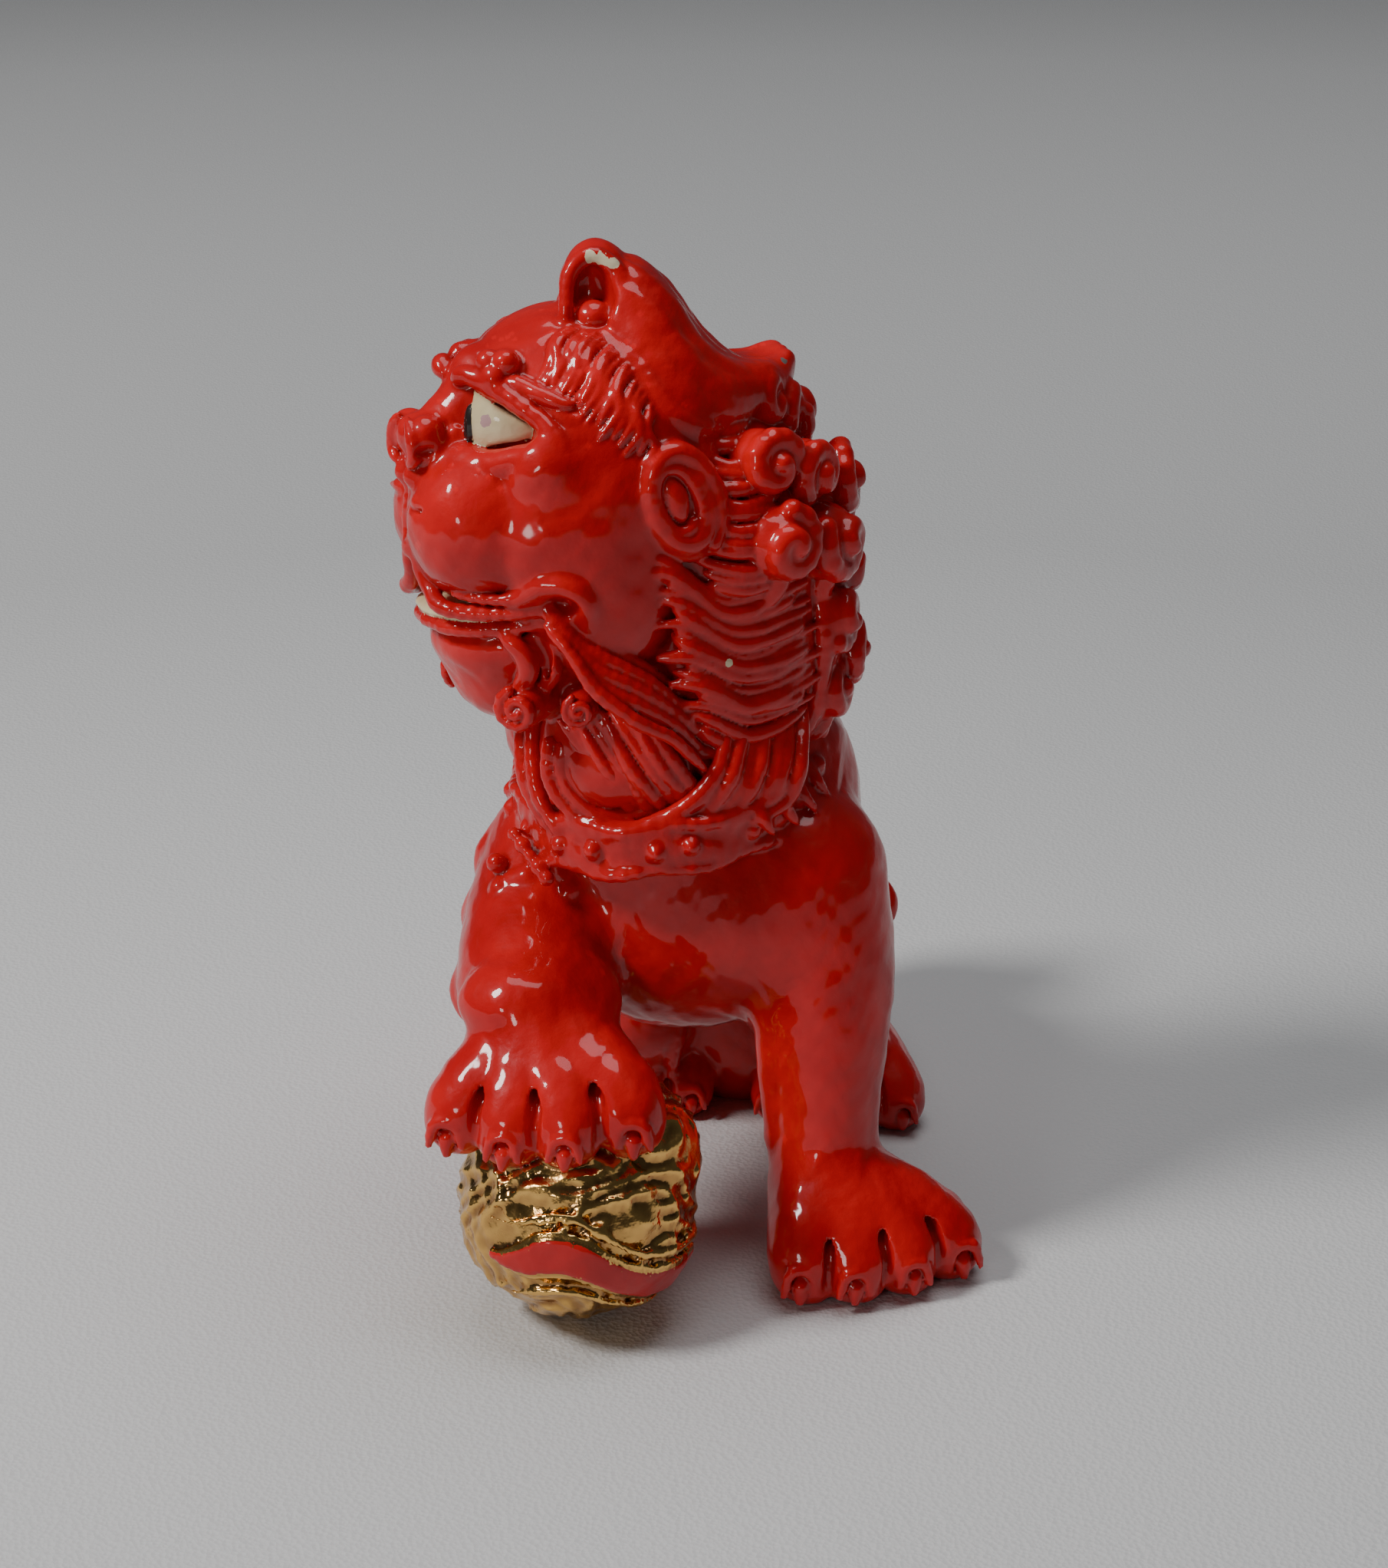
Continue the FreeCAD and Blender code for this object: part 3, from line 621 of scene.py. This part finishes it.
def shape_paw(body, name, root, root_size, toes, tip_size, spread):
    """A paw: a smooth back that parts into four knuckled toes, each with a stub claw in a round socket.

    Each toe is its tip's place and the way that it points, and spread is the way across a claw.
    """
    paw = body.piece(name, 2.0)
    nails = body.piece(f"{name}_claws", 0.3)
    root = np.array(root, float)
    tips = [np.array(t, float) for t, _ in toes]
    outs = [np.array(o, float) / np.linalg.norm(o) for _, o in toes]
    sizes = [tip_size * share for share in (1.06, 1.0, 1.0, 1.06)]
    up = np.array((0, 0, 1.0))
    for tip, out, r in zip(tips, outs, sizes):
        knee = blend(root, tip, 0.62) + up * 0.16 * root_size
        thick = [root_size, 0.46 * root_size + 0.5 * r, 0.95 * r]
        paw.add(limb([root, knee, tip + up * 0.2 * r], thick, 24), 1.6)
        knuckle = tip - out * 0.7 * r + up * 0.76 * r
        paw.add(egg(knuckle, (0.9 * r, 0.92 * r, 0.84 * r)), 0.8)
        paw.add(egg(tip - up * 0.12 * r, (1.06 * r, 0.96 * r, 1.0 * r)), 1.0)
        tendon = [blend(root, knuckle, 0.4) + up * root_size * 0.72,
                  blend(root, knuckle, 0.72) + up * 1.0 * r,
                  knuckle + up * 0.62 * r + out * 0.2 * r]
        paw.add(lock(tendon, 0.4 * r, 14, tip=0.7), 0.5)
    for a, b, out_a, out_b in zip(tips, tips[1:], outs, outs[1:]):
        middle, out = (a + b) / 2, (out_a + out_b) / 2
        groove = [blend(root, middle, 0.45) + up * root_size * 0.86,
                  blend(root, middle, 0.76) + up * tip_size * 1.42,
                  middle + up * 1.0 * tip_size + out * 0.62 * tip_size,
                  middle + out * 1.06 * tip_size - up * 0.9 * tip_size]
        paw.cut(lock(groove, 0.17 * tip_size, 24, tip=0.3), 0.7)
    for tip, out, r in zip(tips, outs, sizes):
        socket = tip + out * 0.98 * r - up * 0.1 * r
        paw.cut(egg(socket, (0.42 * r, 0.4 * r, 0.44 * r)), 0.3)
        arch = [socket + spread * 0.52 * r - up * 0.25 * r, socket + spread * 0.3 * r + up * 0.52 * r,
                socket - spread * 0.3 * r + up * 0.52 * r, socket - spread * 0.52 * r - up * 0.25 * r]
        paw.add(lock(arch, 0.17 * r, 9, tip=0.7), 0.4)
        nails.add(limb([socket - out * 0.45 * r + up * 0.1 * r, socket - out * 0.1 * r - up * 0.05 * r,
                        socket - out * 0.02 * r - up * 0.5 * r], [0.3 * r, 0.27 * r, 0.16 * r], 8), 0.2)
    ground = slab((root[0], root[1], 0), (0, 0, -1))
    if tips[0][2] < GROUND_PAW:
        paw.cut(ground, 0.1)
        nails.cut(ground, 0.1)


def shape_paws(body):
    across = np.array((0.93, 0.37, 0.0))
    shape_paw(body, "forepaw_left", (19.4, -9.6, 11.2), 7.0,
              [((17.6, -19.2, 4.2), (-0.1, -1, 0)), ((24.0, -18.8, 4.2), (0.1, -1, 0)),
               ((30.2, -15.4, 4.1), (0.42, -0.9, 0)), ((35.4, -10.2, 4.0), (0.62, -0.78, 0))], 4.0, across)
    shape_paw(body, "forepaw_right", (-15.4, -23.0, 37.0), 7.0,
              [((-25.4, -31.4, 29.6), (-0.28, -0.9, -0.15)), ((-18.4, -34.4, 29.6), (-0.1, -1, -0.15)),
               ((-11.0, -34.8, 30.2), (0.05, -1, -0.15)), ((-3.6, -32.0, 31.2), (0.25, -0.95, -0.1))], 3.9,
              ALONG_X)


HIPS_X = 1.5              # the middle of the hips, and of the tail, across the lion
TAIL_X = 0.5


def shape_hind_legs(body):
    for name, s in SIDES.items():
        thigh = body.piece(f"thigh_{name}", 3.0)
        thigh.add(egg((HIPS_X + 10.5 * s, 44, 20), (10.6, 16.5, 18.5)), 0)
        shin = [(HIPS_X + 12 * s, 34, 26), (HIPS_X + 13.5 * s, 29, 18), (HIPS_X + 14.5 * s, 34, 9)]
        thigh.add(limb(shin, [7.5, 7, 6], 8), 3)
        fold = [(HIPS_X + 7.5 * s, 27, 24), (HIPS_X + 7.6 * s, 25.4, 16), (HIPS_X + 8.6 * s, 26.5, 8)]
        thigh.add(lock(fold, 1.2, 10), 0.9)
        x = HIPS_X + 15.4 * s
        toes = [((x + dx, y, 3.5), (0.05 * dx, -1, 0))
                for dx, y in ((-8.4, 29.6), (-2.8, 27.2), (3.0, 27.4), (8.4, 30.2))]
        shape_paw(body, f"hindpaw_{name}", (x, 40, 7.0), 6.6, toes, 3.4, ALONG_X)


def shape_tail(body):
    tail = body.piece("tail", 2.0)
    line = [(TAIL_X, y, z) for y, z in ((58, 12), (61.5, 22), (62, 34), (58.5, 46), (57, 55), (57.5, 61))]
    tail.add(limb(line, [4.6, 5.2, 6.0, 5.4, 3.2, 0.8], 20), 0)
    for s in SIDES.values():
        for i in range(5):
            z = 17 + 8 * i
            flick = [(TAIL_X + 2 * s, 63, z - 5), (TAIL_X + 6.5 * s, 62.5, z),
                     (TAIL_X + 7.5 * s, 61 - 0.6 * i, z + 5), (TAIL_X + 5 * s, 60 - 0.8 * i, z + 9)]
            tail.add(lock(flick, 1.5, 12, tip=0.3), 0.5)
    for x in (-2.6, TAIL_X, 3.6):
        strand = [(x, 62, 12), (x, 67, 24), (x, 68.2, 36), (x, 63.6, 47), (TAIL_X, 59.5, 59)]
        tail.add(lock(strand, 1.3, 18, tip=0.3), 0.6)
    curls = body.piece("tail_curls", 1.0)
    for s in SIDES.values():
        for y, z in ((62, 25), (60, 35), (57.5, 46)):
            place = np.array((TAIL_X + 8.0 * s, y, z))
            curls.add(ball(place, 3.3), 0.8)
            curls.add(coil(place + (1.2 * s, 0.6, 0), (s, 0.6, 0), 3.0, hand=s, rise=0.4), 0.35)


COLLAR = (-4.6, 6.9, 62.0)        # its middle, half its width and depth, and how it rises to the left
COLLAR_SIZE = (18.9, 24.4)
COLLAR_SLOPE = 0.09


def on_collar(turn, out=0.0, up=0.0):
    """A place on the collar, turn degrees round from the lion's front towards its left."""
    angle = math.radians(turn)
    wide, deep = COLLAR_SIZE
    x, y = (wide + out) * math.sin(angle), -(deep + out) * math.cos(angle)
    return np.array((COLLAR[0] + x, COLLAR[1] + y, COLLAR[2] + up + COLLAR_SLOPE * x))


def shape_collar(body):
    band = body.piece("collar_band", 0.8)
    around = np.arange(-180, 181, 5)
    for up in np.linspace(-2.3, 2.3, 5):
        line = [on_collar(a, 0.25 * math.sin(0.13 * a + up), up) for a in around]
        band.add(rods(line, [1.35] * len(around)), 0.8)
    for up in (-3.0, 2.9):
        line = [on_collar(a, 0.9 + 0.3 * math.sin(a * 0.21 + up), up + 0.35 * math.sin(0.17 * a + 2 * up))
                for a in around]
        band.add(rods(line, [0.8] * len(around)), 0.5)
    studs = body.piece("collar_studs", 0.3)
    for i in range(20):
        place = on_collar(-180 + 18 * i + 4 + 3 * math.sin(2.7 * i), 1.3, 0.3 * math.sin(3.1 * i))
        way = place - np.array(COLLAR)
        studs.add(egg(place, (1.3, 1.3, 1.35)), 0.3)
        studs.add(ball(place + way / np.linalg.norm(way) * 0.7, 0.75), 0.4)
    for i in range(12):
        place = on_collar(48 + 3.6 * i, 1.2 + 0.5 * math.sin(2.9 * i), 2.0 + 2.2 * math.sin(2.4 * i))
        studs.add(ball(place, 1.2 + 0.35 * math.sin(1.7 * i)), 0.4)
    for i in range(5):
        start = on_collar(44 + 11 * i, 1.0, 3.4)
        studs.add(lock([start, start + (1.2, -1.2, -1.6), start + (2.8, -0.6, -4.2)], 0.75, 8), 0.3)


def shape_bell(body):
    middle = np.array((-7.8, -14.6, 72.4))
    across, up, out = basis((0.12, -1, 0.16))
    turn = np.array([across, up, out]).T
    bell = body.piece("bell", 0.5)
    bell.add(egg(middle, (6.4, 5.8, 3.6), turn), 0)
    cradle = body.piece("bell_cradle", 0.5)
    for radius, thick, lift in ((7.0, 0.9, 0.1), (8.7, 1.0, -0.6)):
        angle = np.radians(np.arange(165, 411, 9))
        line = (middle + out * lift + np.outer(radius * np.cos(angle), across)
                + np.outer(radius * np.sin(angle), up))
        cradle.add(rods(line, [thick] * len(angle)), 0.4)
    ribbon = body.piece("collar_ribbon", 0.6)
    for shift in (0.0, 1.6):
        line = [(x + shift, y - shift, z) for x, y, z in ((-20.4, -7.0, 79), (-20.8, -9.5, 73),
                                                          (-19.9, -11.5, 67.5), (-17.2, -13.5, 63))]
        ribbon.add(lock(line, 1.1, 12, tip=0.7), 0.3)
    for i in range(11):
        t = i / 10
        wave = 0.7 * math.sin(2.3 * i)
        start = np.array((6.0 + 8.5 * t, -10.6 + 9.0 * t, 79.0 - 2.2 * t))
        bend = np.array((5.0 + 9.6 * t, -14.2 + 7.0 * t + wave, 72.0 - 1.6 * t))
        low = np.array((1.0 + 12.0 * t, -16.6 + 7.4 * t, 67.4 - 0.6 * t + wave))
        end = np.array((-4.6 + 14.0 * t, -17.8 + 5.0 * t, 65.2 + wave))
        ribbon.add(lock([start, bend, low, end], 1.15, 18, tip=0.4), 0.15)
    for i in range(5):
        place = np.array((-21.6 + 1.2 * i, -11.8 - 0.9 * i, 60.6 - 1.1 * i))
        ribbon.add(ball(place, 0.95 + 0.2 * math.sin(2.3 * i)), 0.7)


BALL_MIDDLE = (-11.7, -25.0, 15.7)


def shape_ball(body):
    """The ball's crumpled skin is a field of folds, and its ribbon is a raised band with a rim."""
    globe = body.piece("ball", 0.3)
    centre = np.array(BALL_MIDDLE)

    def crumpled(x, y, z):
        x, y, z = x - centre[0], y - centre[1], z - centre[2]
        folds = 0
        for size, (a, b, c), start in ((0.7, (0.30, 0.12, 0.36), 0.3), (0.6, (-0.26, 0.4, 0.3), 1.9),
                                       (0.36, (0.6, -0.4, 0.62), 0.7), (0.1, (1.1, 0.8, -0.95), 2.6)):
            warp = 1.9 * np.sin(0.27 * z + 0.33 * y + start) + 1.3 * np.sin(0.5 * x - 0.42 * z + 2 * start)
            folds = folds + size * np.abs(np.sin(a * x + b * y + c * z + warp))
        swell = length(x - 5.0, y - 1.5, z - 5.6) - 11.6
        return np.minimum(length(x, y, z) - 16.1, swell) + 0.75 * folds

    globe.add((centre - 16.5, centre + 16.5, crumpled), 0)

    def band(wide, hollow_shade_ridge_highlight, rise):
        """A wavy band round the ball's front, as wide and as thick as asked."""
        def distance(x, y, z):
            x, y, z = x - centre[0], y - centre[1], z - centre[2]
            height = z - rise + 0.2 * x + 0.016 * x * x - 1.3 * np.sin(0.33 * x + 0.9)
            narrow = wide * np.clip((x + 9.5) / 6.0, 0.25, 1.15)
            shell = np.abs(length(x, y, z) - 15.9) - hollow_shade_ridge_highlight
            return np.maximum(np.maximum(shell, np.abs(height) - narrow), np.maximum(y + 1.0, -x - 9.0))
        return centre - 18, centre + 18, distance

    ribbon = body.piece("ball_ribbon", 0.2)
    ribbon.add(band(2.0, 0.62, -0.6), 0.2)
    globe.add(band(2.9, 0.32, -0.6), 0.4)
    for rise, wide in ((4.4, 0.5), (-6.2, 0.4)):
        globe.add(band(wide, 0.3, rise), 0.7)
    globe.cut(slab((centre[0], centre[1], 0), (0, 0, -1)), 0.1)


BODY_SHAPES = [shape_torso, shape_forelegs, shape_hind_legs, shape_paws, shape_tail, shape_collar,
               shape_bell, shape_ball]


# ---- meshes -------------------------------------------------------------------------------------

def smooth_mesh(name, points, quads, material):
    """A closed mesh of quads, with its faces turned outward."""
    corners = points[quads]
    spread = np.cross(corners[:, 1] - corners[:, 0], corners[:, 2] - corners[:, 0])
    if (spread * corners[:, 0]).sum() < 0:
        quads = quads[:, ::-1]
    mesh = bpy.data.meshes.new(name)
    mesh.vertices.add(len(points))
    mesh.vertices.foreach_set("co", points.astype(np.float32).ravel())
    mesh.loops.add(quads.size)
    mesh.loops.foreach_set("vertex_index", quads.astype(np.int32).ravel())
    mesh.polygons.add(len(quads))
    mesh.polygons.foreach_set("loop_start", np.arange(0, quads.size, 4, dtype=np.int32))
    mesh.polygons.foreach_set("use_smooth", np.ones(len(quads), bool))
    mesh.update(calc_edges=True)
    mesh.validate()
    mesh.materials.append(material)
    piece = bpy.data.objects.new(name, mesh)
    bpy.context.scene.collection.objects.link(piece)
    return piece


def place_pieces(block, shapes, materials, slots):
    """Shapes a block's pieces, and makes each one the visible piece of the CAD node of its name."""
    for shape in shapes:
        shape(block)
    for node, points, quads in block.part():
        piece = smooth_mesh(f"{node}_cast", points, quads, materials[slots[node]])
        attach(piece, "root")
        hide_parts(node)


# ---- materials ----------------------------------------------------------------------------------

def node_tree(name):
    material = bpy.data.materials.new(name)
    material.use_nodes = True
    tree = material.node_tree
    return material, tree, tree.nodes["Principled BSDF"]


def feed(tree, socket, value):
    """Links another node's output to a socket, or sets the socket's own value."""
    if isinstance(value, bpy.types.NodeSocket):
        tree.links.new(value, socket)
    else:
        socket.default_value = value


def object_place(tree):
    return tree.nodes.new("ShaderNodeTexCoord").outputs["Object"]


def pointiness(tree):
    """Low in hollows and high on ridges."""
    return tree.nodes.new("ShaderNodeNewGeometry").outputs["Pointiness"]


def maths(tree, operation, *values):
    made = tree.nodes.new("ShaderNodeMath")
    made.operation = operation
    for socket, value in zip(made.inputs, values):
        feed(tree, socket, value)
    return made.outputs[0]


def mix(tree, factor, a, b, blend_type="MIX"):
    made = tree.nodes.new("ShaderNodeMix")
    made.data_type, made.blend_type = "RGBA", blend_type
    for name, value in (("Factor", factor), ("A", a), ("B", b)):
        feed(tree, made.inputs[name], value)
    return made.outputs["Result"]


def noise(tree, scale, detail=4.0):
    made = tree.nodes.new("ShaderNodeTexNoise")
    for name, value in (("Scale", scale), ("Detail", detail), ("Roughness", 0.55),
                        ("Vector", object_place(tree))):
        feed(tree, made.inputs[name], value)
    return made.outputs["Fac"]


def ramp(tree, source, stops):
    made = tree.nodes.new("ShaderNodeValToRGB")
    band = made.color_ramp
    while len(band.elements) < len(stops):
        band.elements.new(0.5)
    for element, (at, colour) in zip(band.elements, stops):
        element.position = at
        element.color = (*colour, 1)
    tree.links.new(source, made.inputs["Fac"])
    return made.outputs["Color"]


def grey(value):
    return (value, value, value)


def bump(tree, shader, source, strength, distance):
    made = tree.nodes.new("ShaderNodeBump")
    made.inputs["Strength"].default_value = strength
    made.inputs["Distance"].default_value = distance
    tree.links.new(source, made.inputs["Height"])
    tree.links.new(made.outputs["Normal"], shader.inputs["Normal"])


def spots(tree, base, marks):
    """Ragged spots of another colour over base: each a place and a size in metres, and its colour."""
    for place, size, colour in marks:
        apart = tree.nodes.new("ShaderNodeVectorMath")
        apart.operation = "DISTANCE"
        feed(tree, apart.inputs[0], object_place(tree))
        feed(tree, apart.inputs[1], place)
        ragged = maths(tree, "MULTIPLY_ADD", noise(tree, 900), 2.2 * size, apart.outputs["Value"])
        inside = maths(tree, "LESS_THAN", ragged, 2.1 * size)
        base = mix(tree, inside, base, (*colour, 1))
    return base


BARE, WORN, SMUDGE = (0.72, 0.62, 0.42), (0.16, 0.13, 0.12), (0.50, 0.30, 0.30)
HOOD_EDGE, HOOD_STEP = H(6.2, -2.4, 26.9), H(0.55, -1.3, -0.3)
# Marks in the paint: a place on the head, a size in mm, and a colour. Three chips lie in a row on the
# hood's edge, one on the cheek locks, and the horn is worn at its tip.
RED_MARKS = [(HOOD_EDGE + HOOD_STEP * i, size, BARE) for i, size in enumerate((0.8, 0.9, 0.8))]
RED_MARKS += [(H(19.2, -13.2, -22.7), 0.5, BARE), (H(5.5, -28.3, 11.5), 0.5, WORN)]
CREAM_MARKS = [(H(8.5, 13.0, 8.9), 0.8, SMUDGE)]


def on_head(head_place, marks):
    """The same marks with their places and sizes in the frame, in metres."""
    return [(head_place @ Vector(place) * MM, size * MM, colour) for place, size, colour in marks]


def paint_material(name, dark, light, rough=0.1, marks=()):
    """Glossy paint, a little uneven, with painted shade darkening its hollows and a painted highlight
    brightening its ridges.
    """
    material, tree, shader = node_tree(name)
    mottle = ramp(tree, noise(tree, 90), [(0.3, dark), (0.7, light)])
    # painted shade in hollows and painted highlight on ridges, from pointiness
    hollow_shade_ridge_highlight = ramp(tree, pointiness(tree), [(0.42, grey(0.3)), (0.5, grey(1.0)), (0.6, grey(1.25))])
    shaded = mix(tree, 0.8, mottle, hollow_shade_ridge_highlight, "MULTIPLY")
    uneven = ramp(tree, noise(tree, 260), [(0.35, grey(rough + 0.28)), (0.75, grey(rough + 0.42))])
    for socket, value in (("Base Color", spots(tree, shaded, marks)), ("Roughness", uneven), ("IOR", 1.42),
                          ("Specular IOR Level", 0.14), ("Coat Weight", 0.72),
                          ("Coat Roughness", 0.7 * rough)):
        feed(tree, shader.inputs[socket], value)
    height = maths(tree, "MULTIPLY_ADD", noise(tree, 160, 3.0), 2.5, noise(tree, 620, 3.0))
    bump(tree, shader, height, 0.4, 0.00026)
    return material


def gold_material():
    """Gold leaf, with a painted highlight on its ridges and painted shade, dark red, in its creases."""
    material, tree, shader = node_tree("gold_leaf")
    # painted shade in creases and painted highlight on ridges, from pointiness
    crease_shade_ridge_highlight = ramp(tree, pointiness(tree),
                 [(0.4, (0.07, 0.03, 0.03)), (0.475, (0.42, 0.22, 0.08)), (0.52, (0.84, 0.50, 0.15))])
    sheen = ramp(tree, noise(tree, 300), [(0.35, grey(0.1)), (0.7, grey(0.3))])
    for socket, value in (("Base Color", crease_shade_ridge_highlight), ("Metallic", 1.0), ("Roughness", sheen)):
        feed(tree, shader.inputs[socket], value)
    bump(tree, shader, noise(tree, 220), 0.5, 0.0009)
    return material


def make_materials(head_place):
    """One material for each material slot in the record, by its name."""
    return {
        "red_lacquer": paint_material("red_lacquer", (0.44, 0.003, 0.005), (0.65, 0.010, 0.011),
                                      marks=on_head(head_place, RED_MARKS)),
        "ribbon_red": paint_material("ribbon_red", (0.42, 0.006, 0.008), (0.58, 0.012, 0.012), 0.18),
        "cream_paint": paint_material("cream_paint", (0.62, 0.50, 0.28), (0.78, 0.68, 0.42), 0.14,
                                      on_head(head_place, CREAM_MARKS)),
        "black_paint": paint_material("black_paint", (0.012, 0.008, 0.007), (0.03, 0.02, 0.018), 0.12),
        "gold_leaf": gold_material(),
    }


# ---- camera, light and floor --------------------------------------------------------------------

def aim(thing, at):
    thing.rotation_euler = (Vector(at) - thing.location).to_track_quat("-Z", "Y").to_euler()


SENSOR, LENS = 36, 73.9726           # in mm
CAMERA_ROUND, CAMERA_UP = 8, 22      # where it stands: degrees to the lion's left, and upward
CAMERA_AWAY = 0.420                  # how far off, in metres, from the point that it looks at
LOOK_UP = 0.064                      # how high that point is


def make_camera(origin):
    data = bpy.data.cameras.new("camera")
    data.sensor_width, data.sensor_fit = SENSOR, "AUTO"
    data.lens = LENS
    camera = bpy.data.objects.new("camera", data)
    bpy.context.scene.collection.objects.link(camera)
    around, above = math.radians(CAMERA_ROUND), math.radians(CAMERA_UP)
    target = origin + Vector((0, 0, LOOK_UP))
    way = Vector((math.sin(around) * math.cos(above), -math.cos(around) * math.cos(above), math.sin(above)))
    camera.location = target + CAMERA_AWAY * way
    aim(camera, target)
    bpy.context.scene.camera = camera


def soft_light(name, place, at, size, watts, colour):
    data = bpy.data.lights.new(name, "AREA")
    data.shape, data.size, data.energy, data.color = "DISK", size, watts, colour
    lamp = bpy.data.objects.new(name, data)
    bpy.context.scene.collection.objects.link(lamp)
    lamp.location = Vector(place)
    aim(lamp, at)


def make_lights():
    world = bpy.data.worlds.new("studio")
    world.use_nodes = True
    world.node_tree.nodes["Background"].inputs["Color"].default_value = (0.75, 0.78, 0.82, 1)
    world.node_tree.nodes["Background"].inputs["Strength"].default_value = 0.07
    bpy.context.scene.world = world
    middle = (0, 0, 0.07)
    soft_light("window", (-0.62, -0.35, 0.78), middle, 0.26, 7.6, (1.0, 0.98, 0.96))
    soft_light("ceiling", (0.05, 0.1, 1.1), middle, 0.8, 5.0, (0.96, 0.98, 1.0))
    soft_light("room", (-0.35, -1.0, 0.30), middle, 0.2, 1.3, (1.0, 0.97, 0.94))


CLOTH_REACH = 2.6                     # half the cloth's width, in metres
CLOTH_PAINTED_LIGHT_AND_SHADE = [(0.1, grey(0.62)), (0.3, grey(0.53)), (0.95, grey(0.84))]    # painted light and shade on the cloth: metres out, and how pale it is painted there


def make_floor():
    """A wide pale cloth that lies flat under the statue, painted darker and paler with distance from it as
    painted light and shade.
    """
    ends = [(x, y, 0.0) for x in (-CLOTH_REACH, CLOTH_REACH) for y in (-CLOTH_REACH, CLOTH_REACH)]
    mesh = bpy.data.meshes.new("cloth")
    mesh.from_pydata(ends, [], [(0, 2, 3, 1)])
    material, tree, shader = node_tree("cloth")
    away = tree.nodes.new("ShaderNodeVectorMath")
    away.operation = "LENGTH"
    feed(tree, away.inputs[0], object_place(tree))
    # painted light and shade: the cloth's paleness follows its distance from the statue
    feed(tree, shader.inputs["Base Color"], ramp(tree, away.outputs["Value"], CLOTH_PAINTED_LIGHT_AND_SHADE))
    feed(tree, shader.inputs["Roughness"], 0.85)
    weave = tree.nodes.new("ShaderNodeTexVoronoi")
    feed(tree, weave.inputs["Scale"], 1500)
    feed(tree, weave.inputs["Vector"], object_place(tree))
    bump(tree, shader, weave.outputs["Distance"], 0.4, 0.0003)
    mesh.materials.append(material)
    floor = bpy.data.objects.new("cloth", mesh)
    bpy.context.scene.collection.objects.link(floor)
    floor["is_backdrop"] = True


def main():
    record = frame["record"]
    slots = {row["node"]: row["material_slot"] for row in record["subparts"]}
    low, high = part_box("skull")
    skull = (low + high) / 2 / MM
    origin = Vector((skull.x + SKULL_TO_BODY[0], skull.y + SKULL_TO_BODY[1], 0))
    turn = Matrix.Rotation(math.radians(HEAD_TURN), 4, "Z")
    tilt = Matrix.Rotation(math.radians(HEAD_TILT), 4, "Y")
    head_place = Matrix.Translation(skull) @ (turn @ tilt)
    materials = make_materials(head_place)
    make_camera(origin * MM)
    make_lights()
    make_floor()
    place_pieces(Block(*HEAD_SPACE, HEAD_STEP, head_place), HEAD_SHAPES, materials, slots)
    place_pieces(Block(*BODY_SPACE, BODY_STEP, Matrix.Translation(origin)), BODY_SHAPES, materials, slots)
    sizes = {"start": START_BOX, "end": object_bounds()}
    {name: [float(v) for corner in box for v in corner] for name, box in sizes.items()}


main()
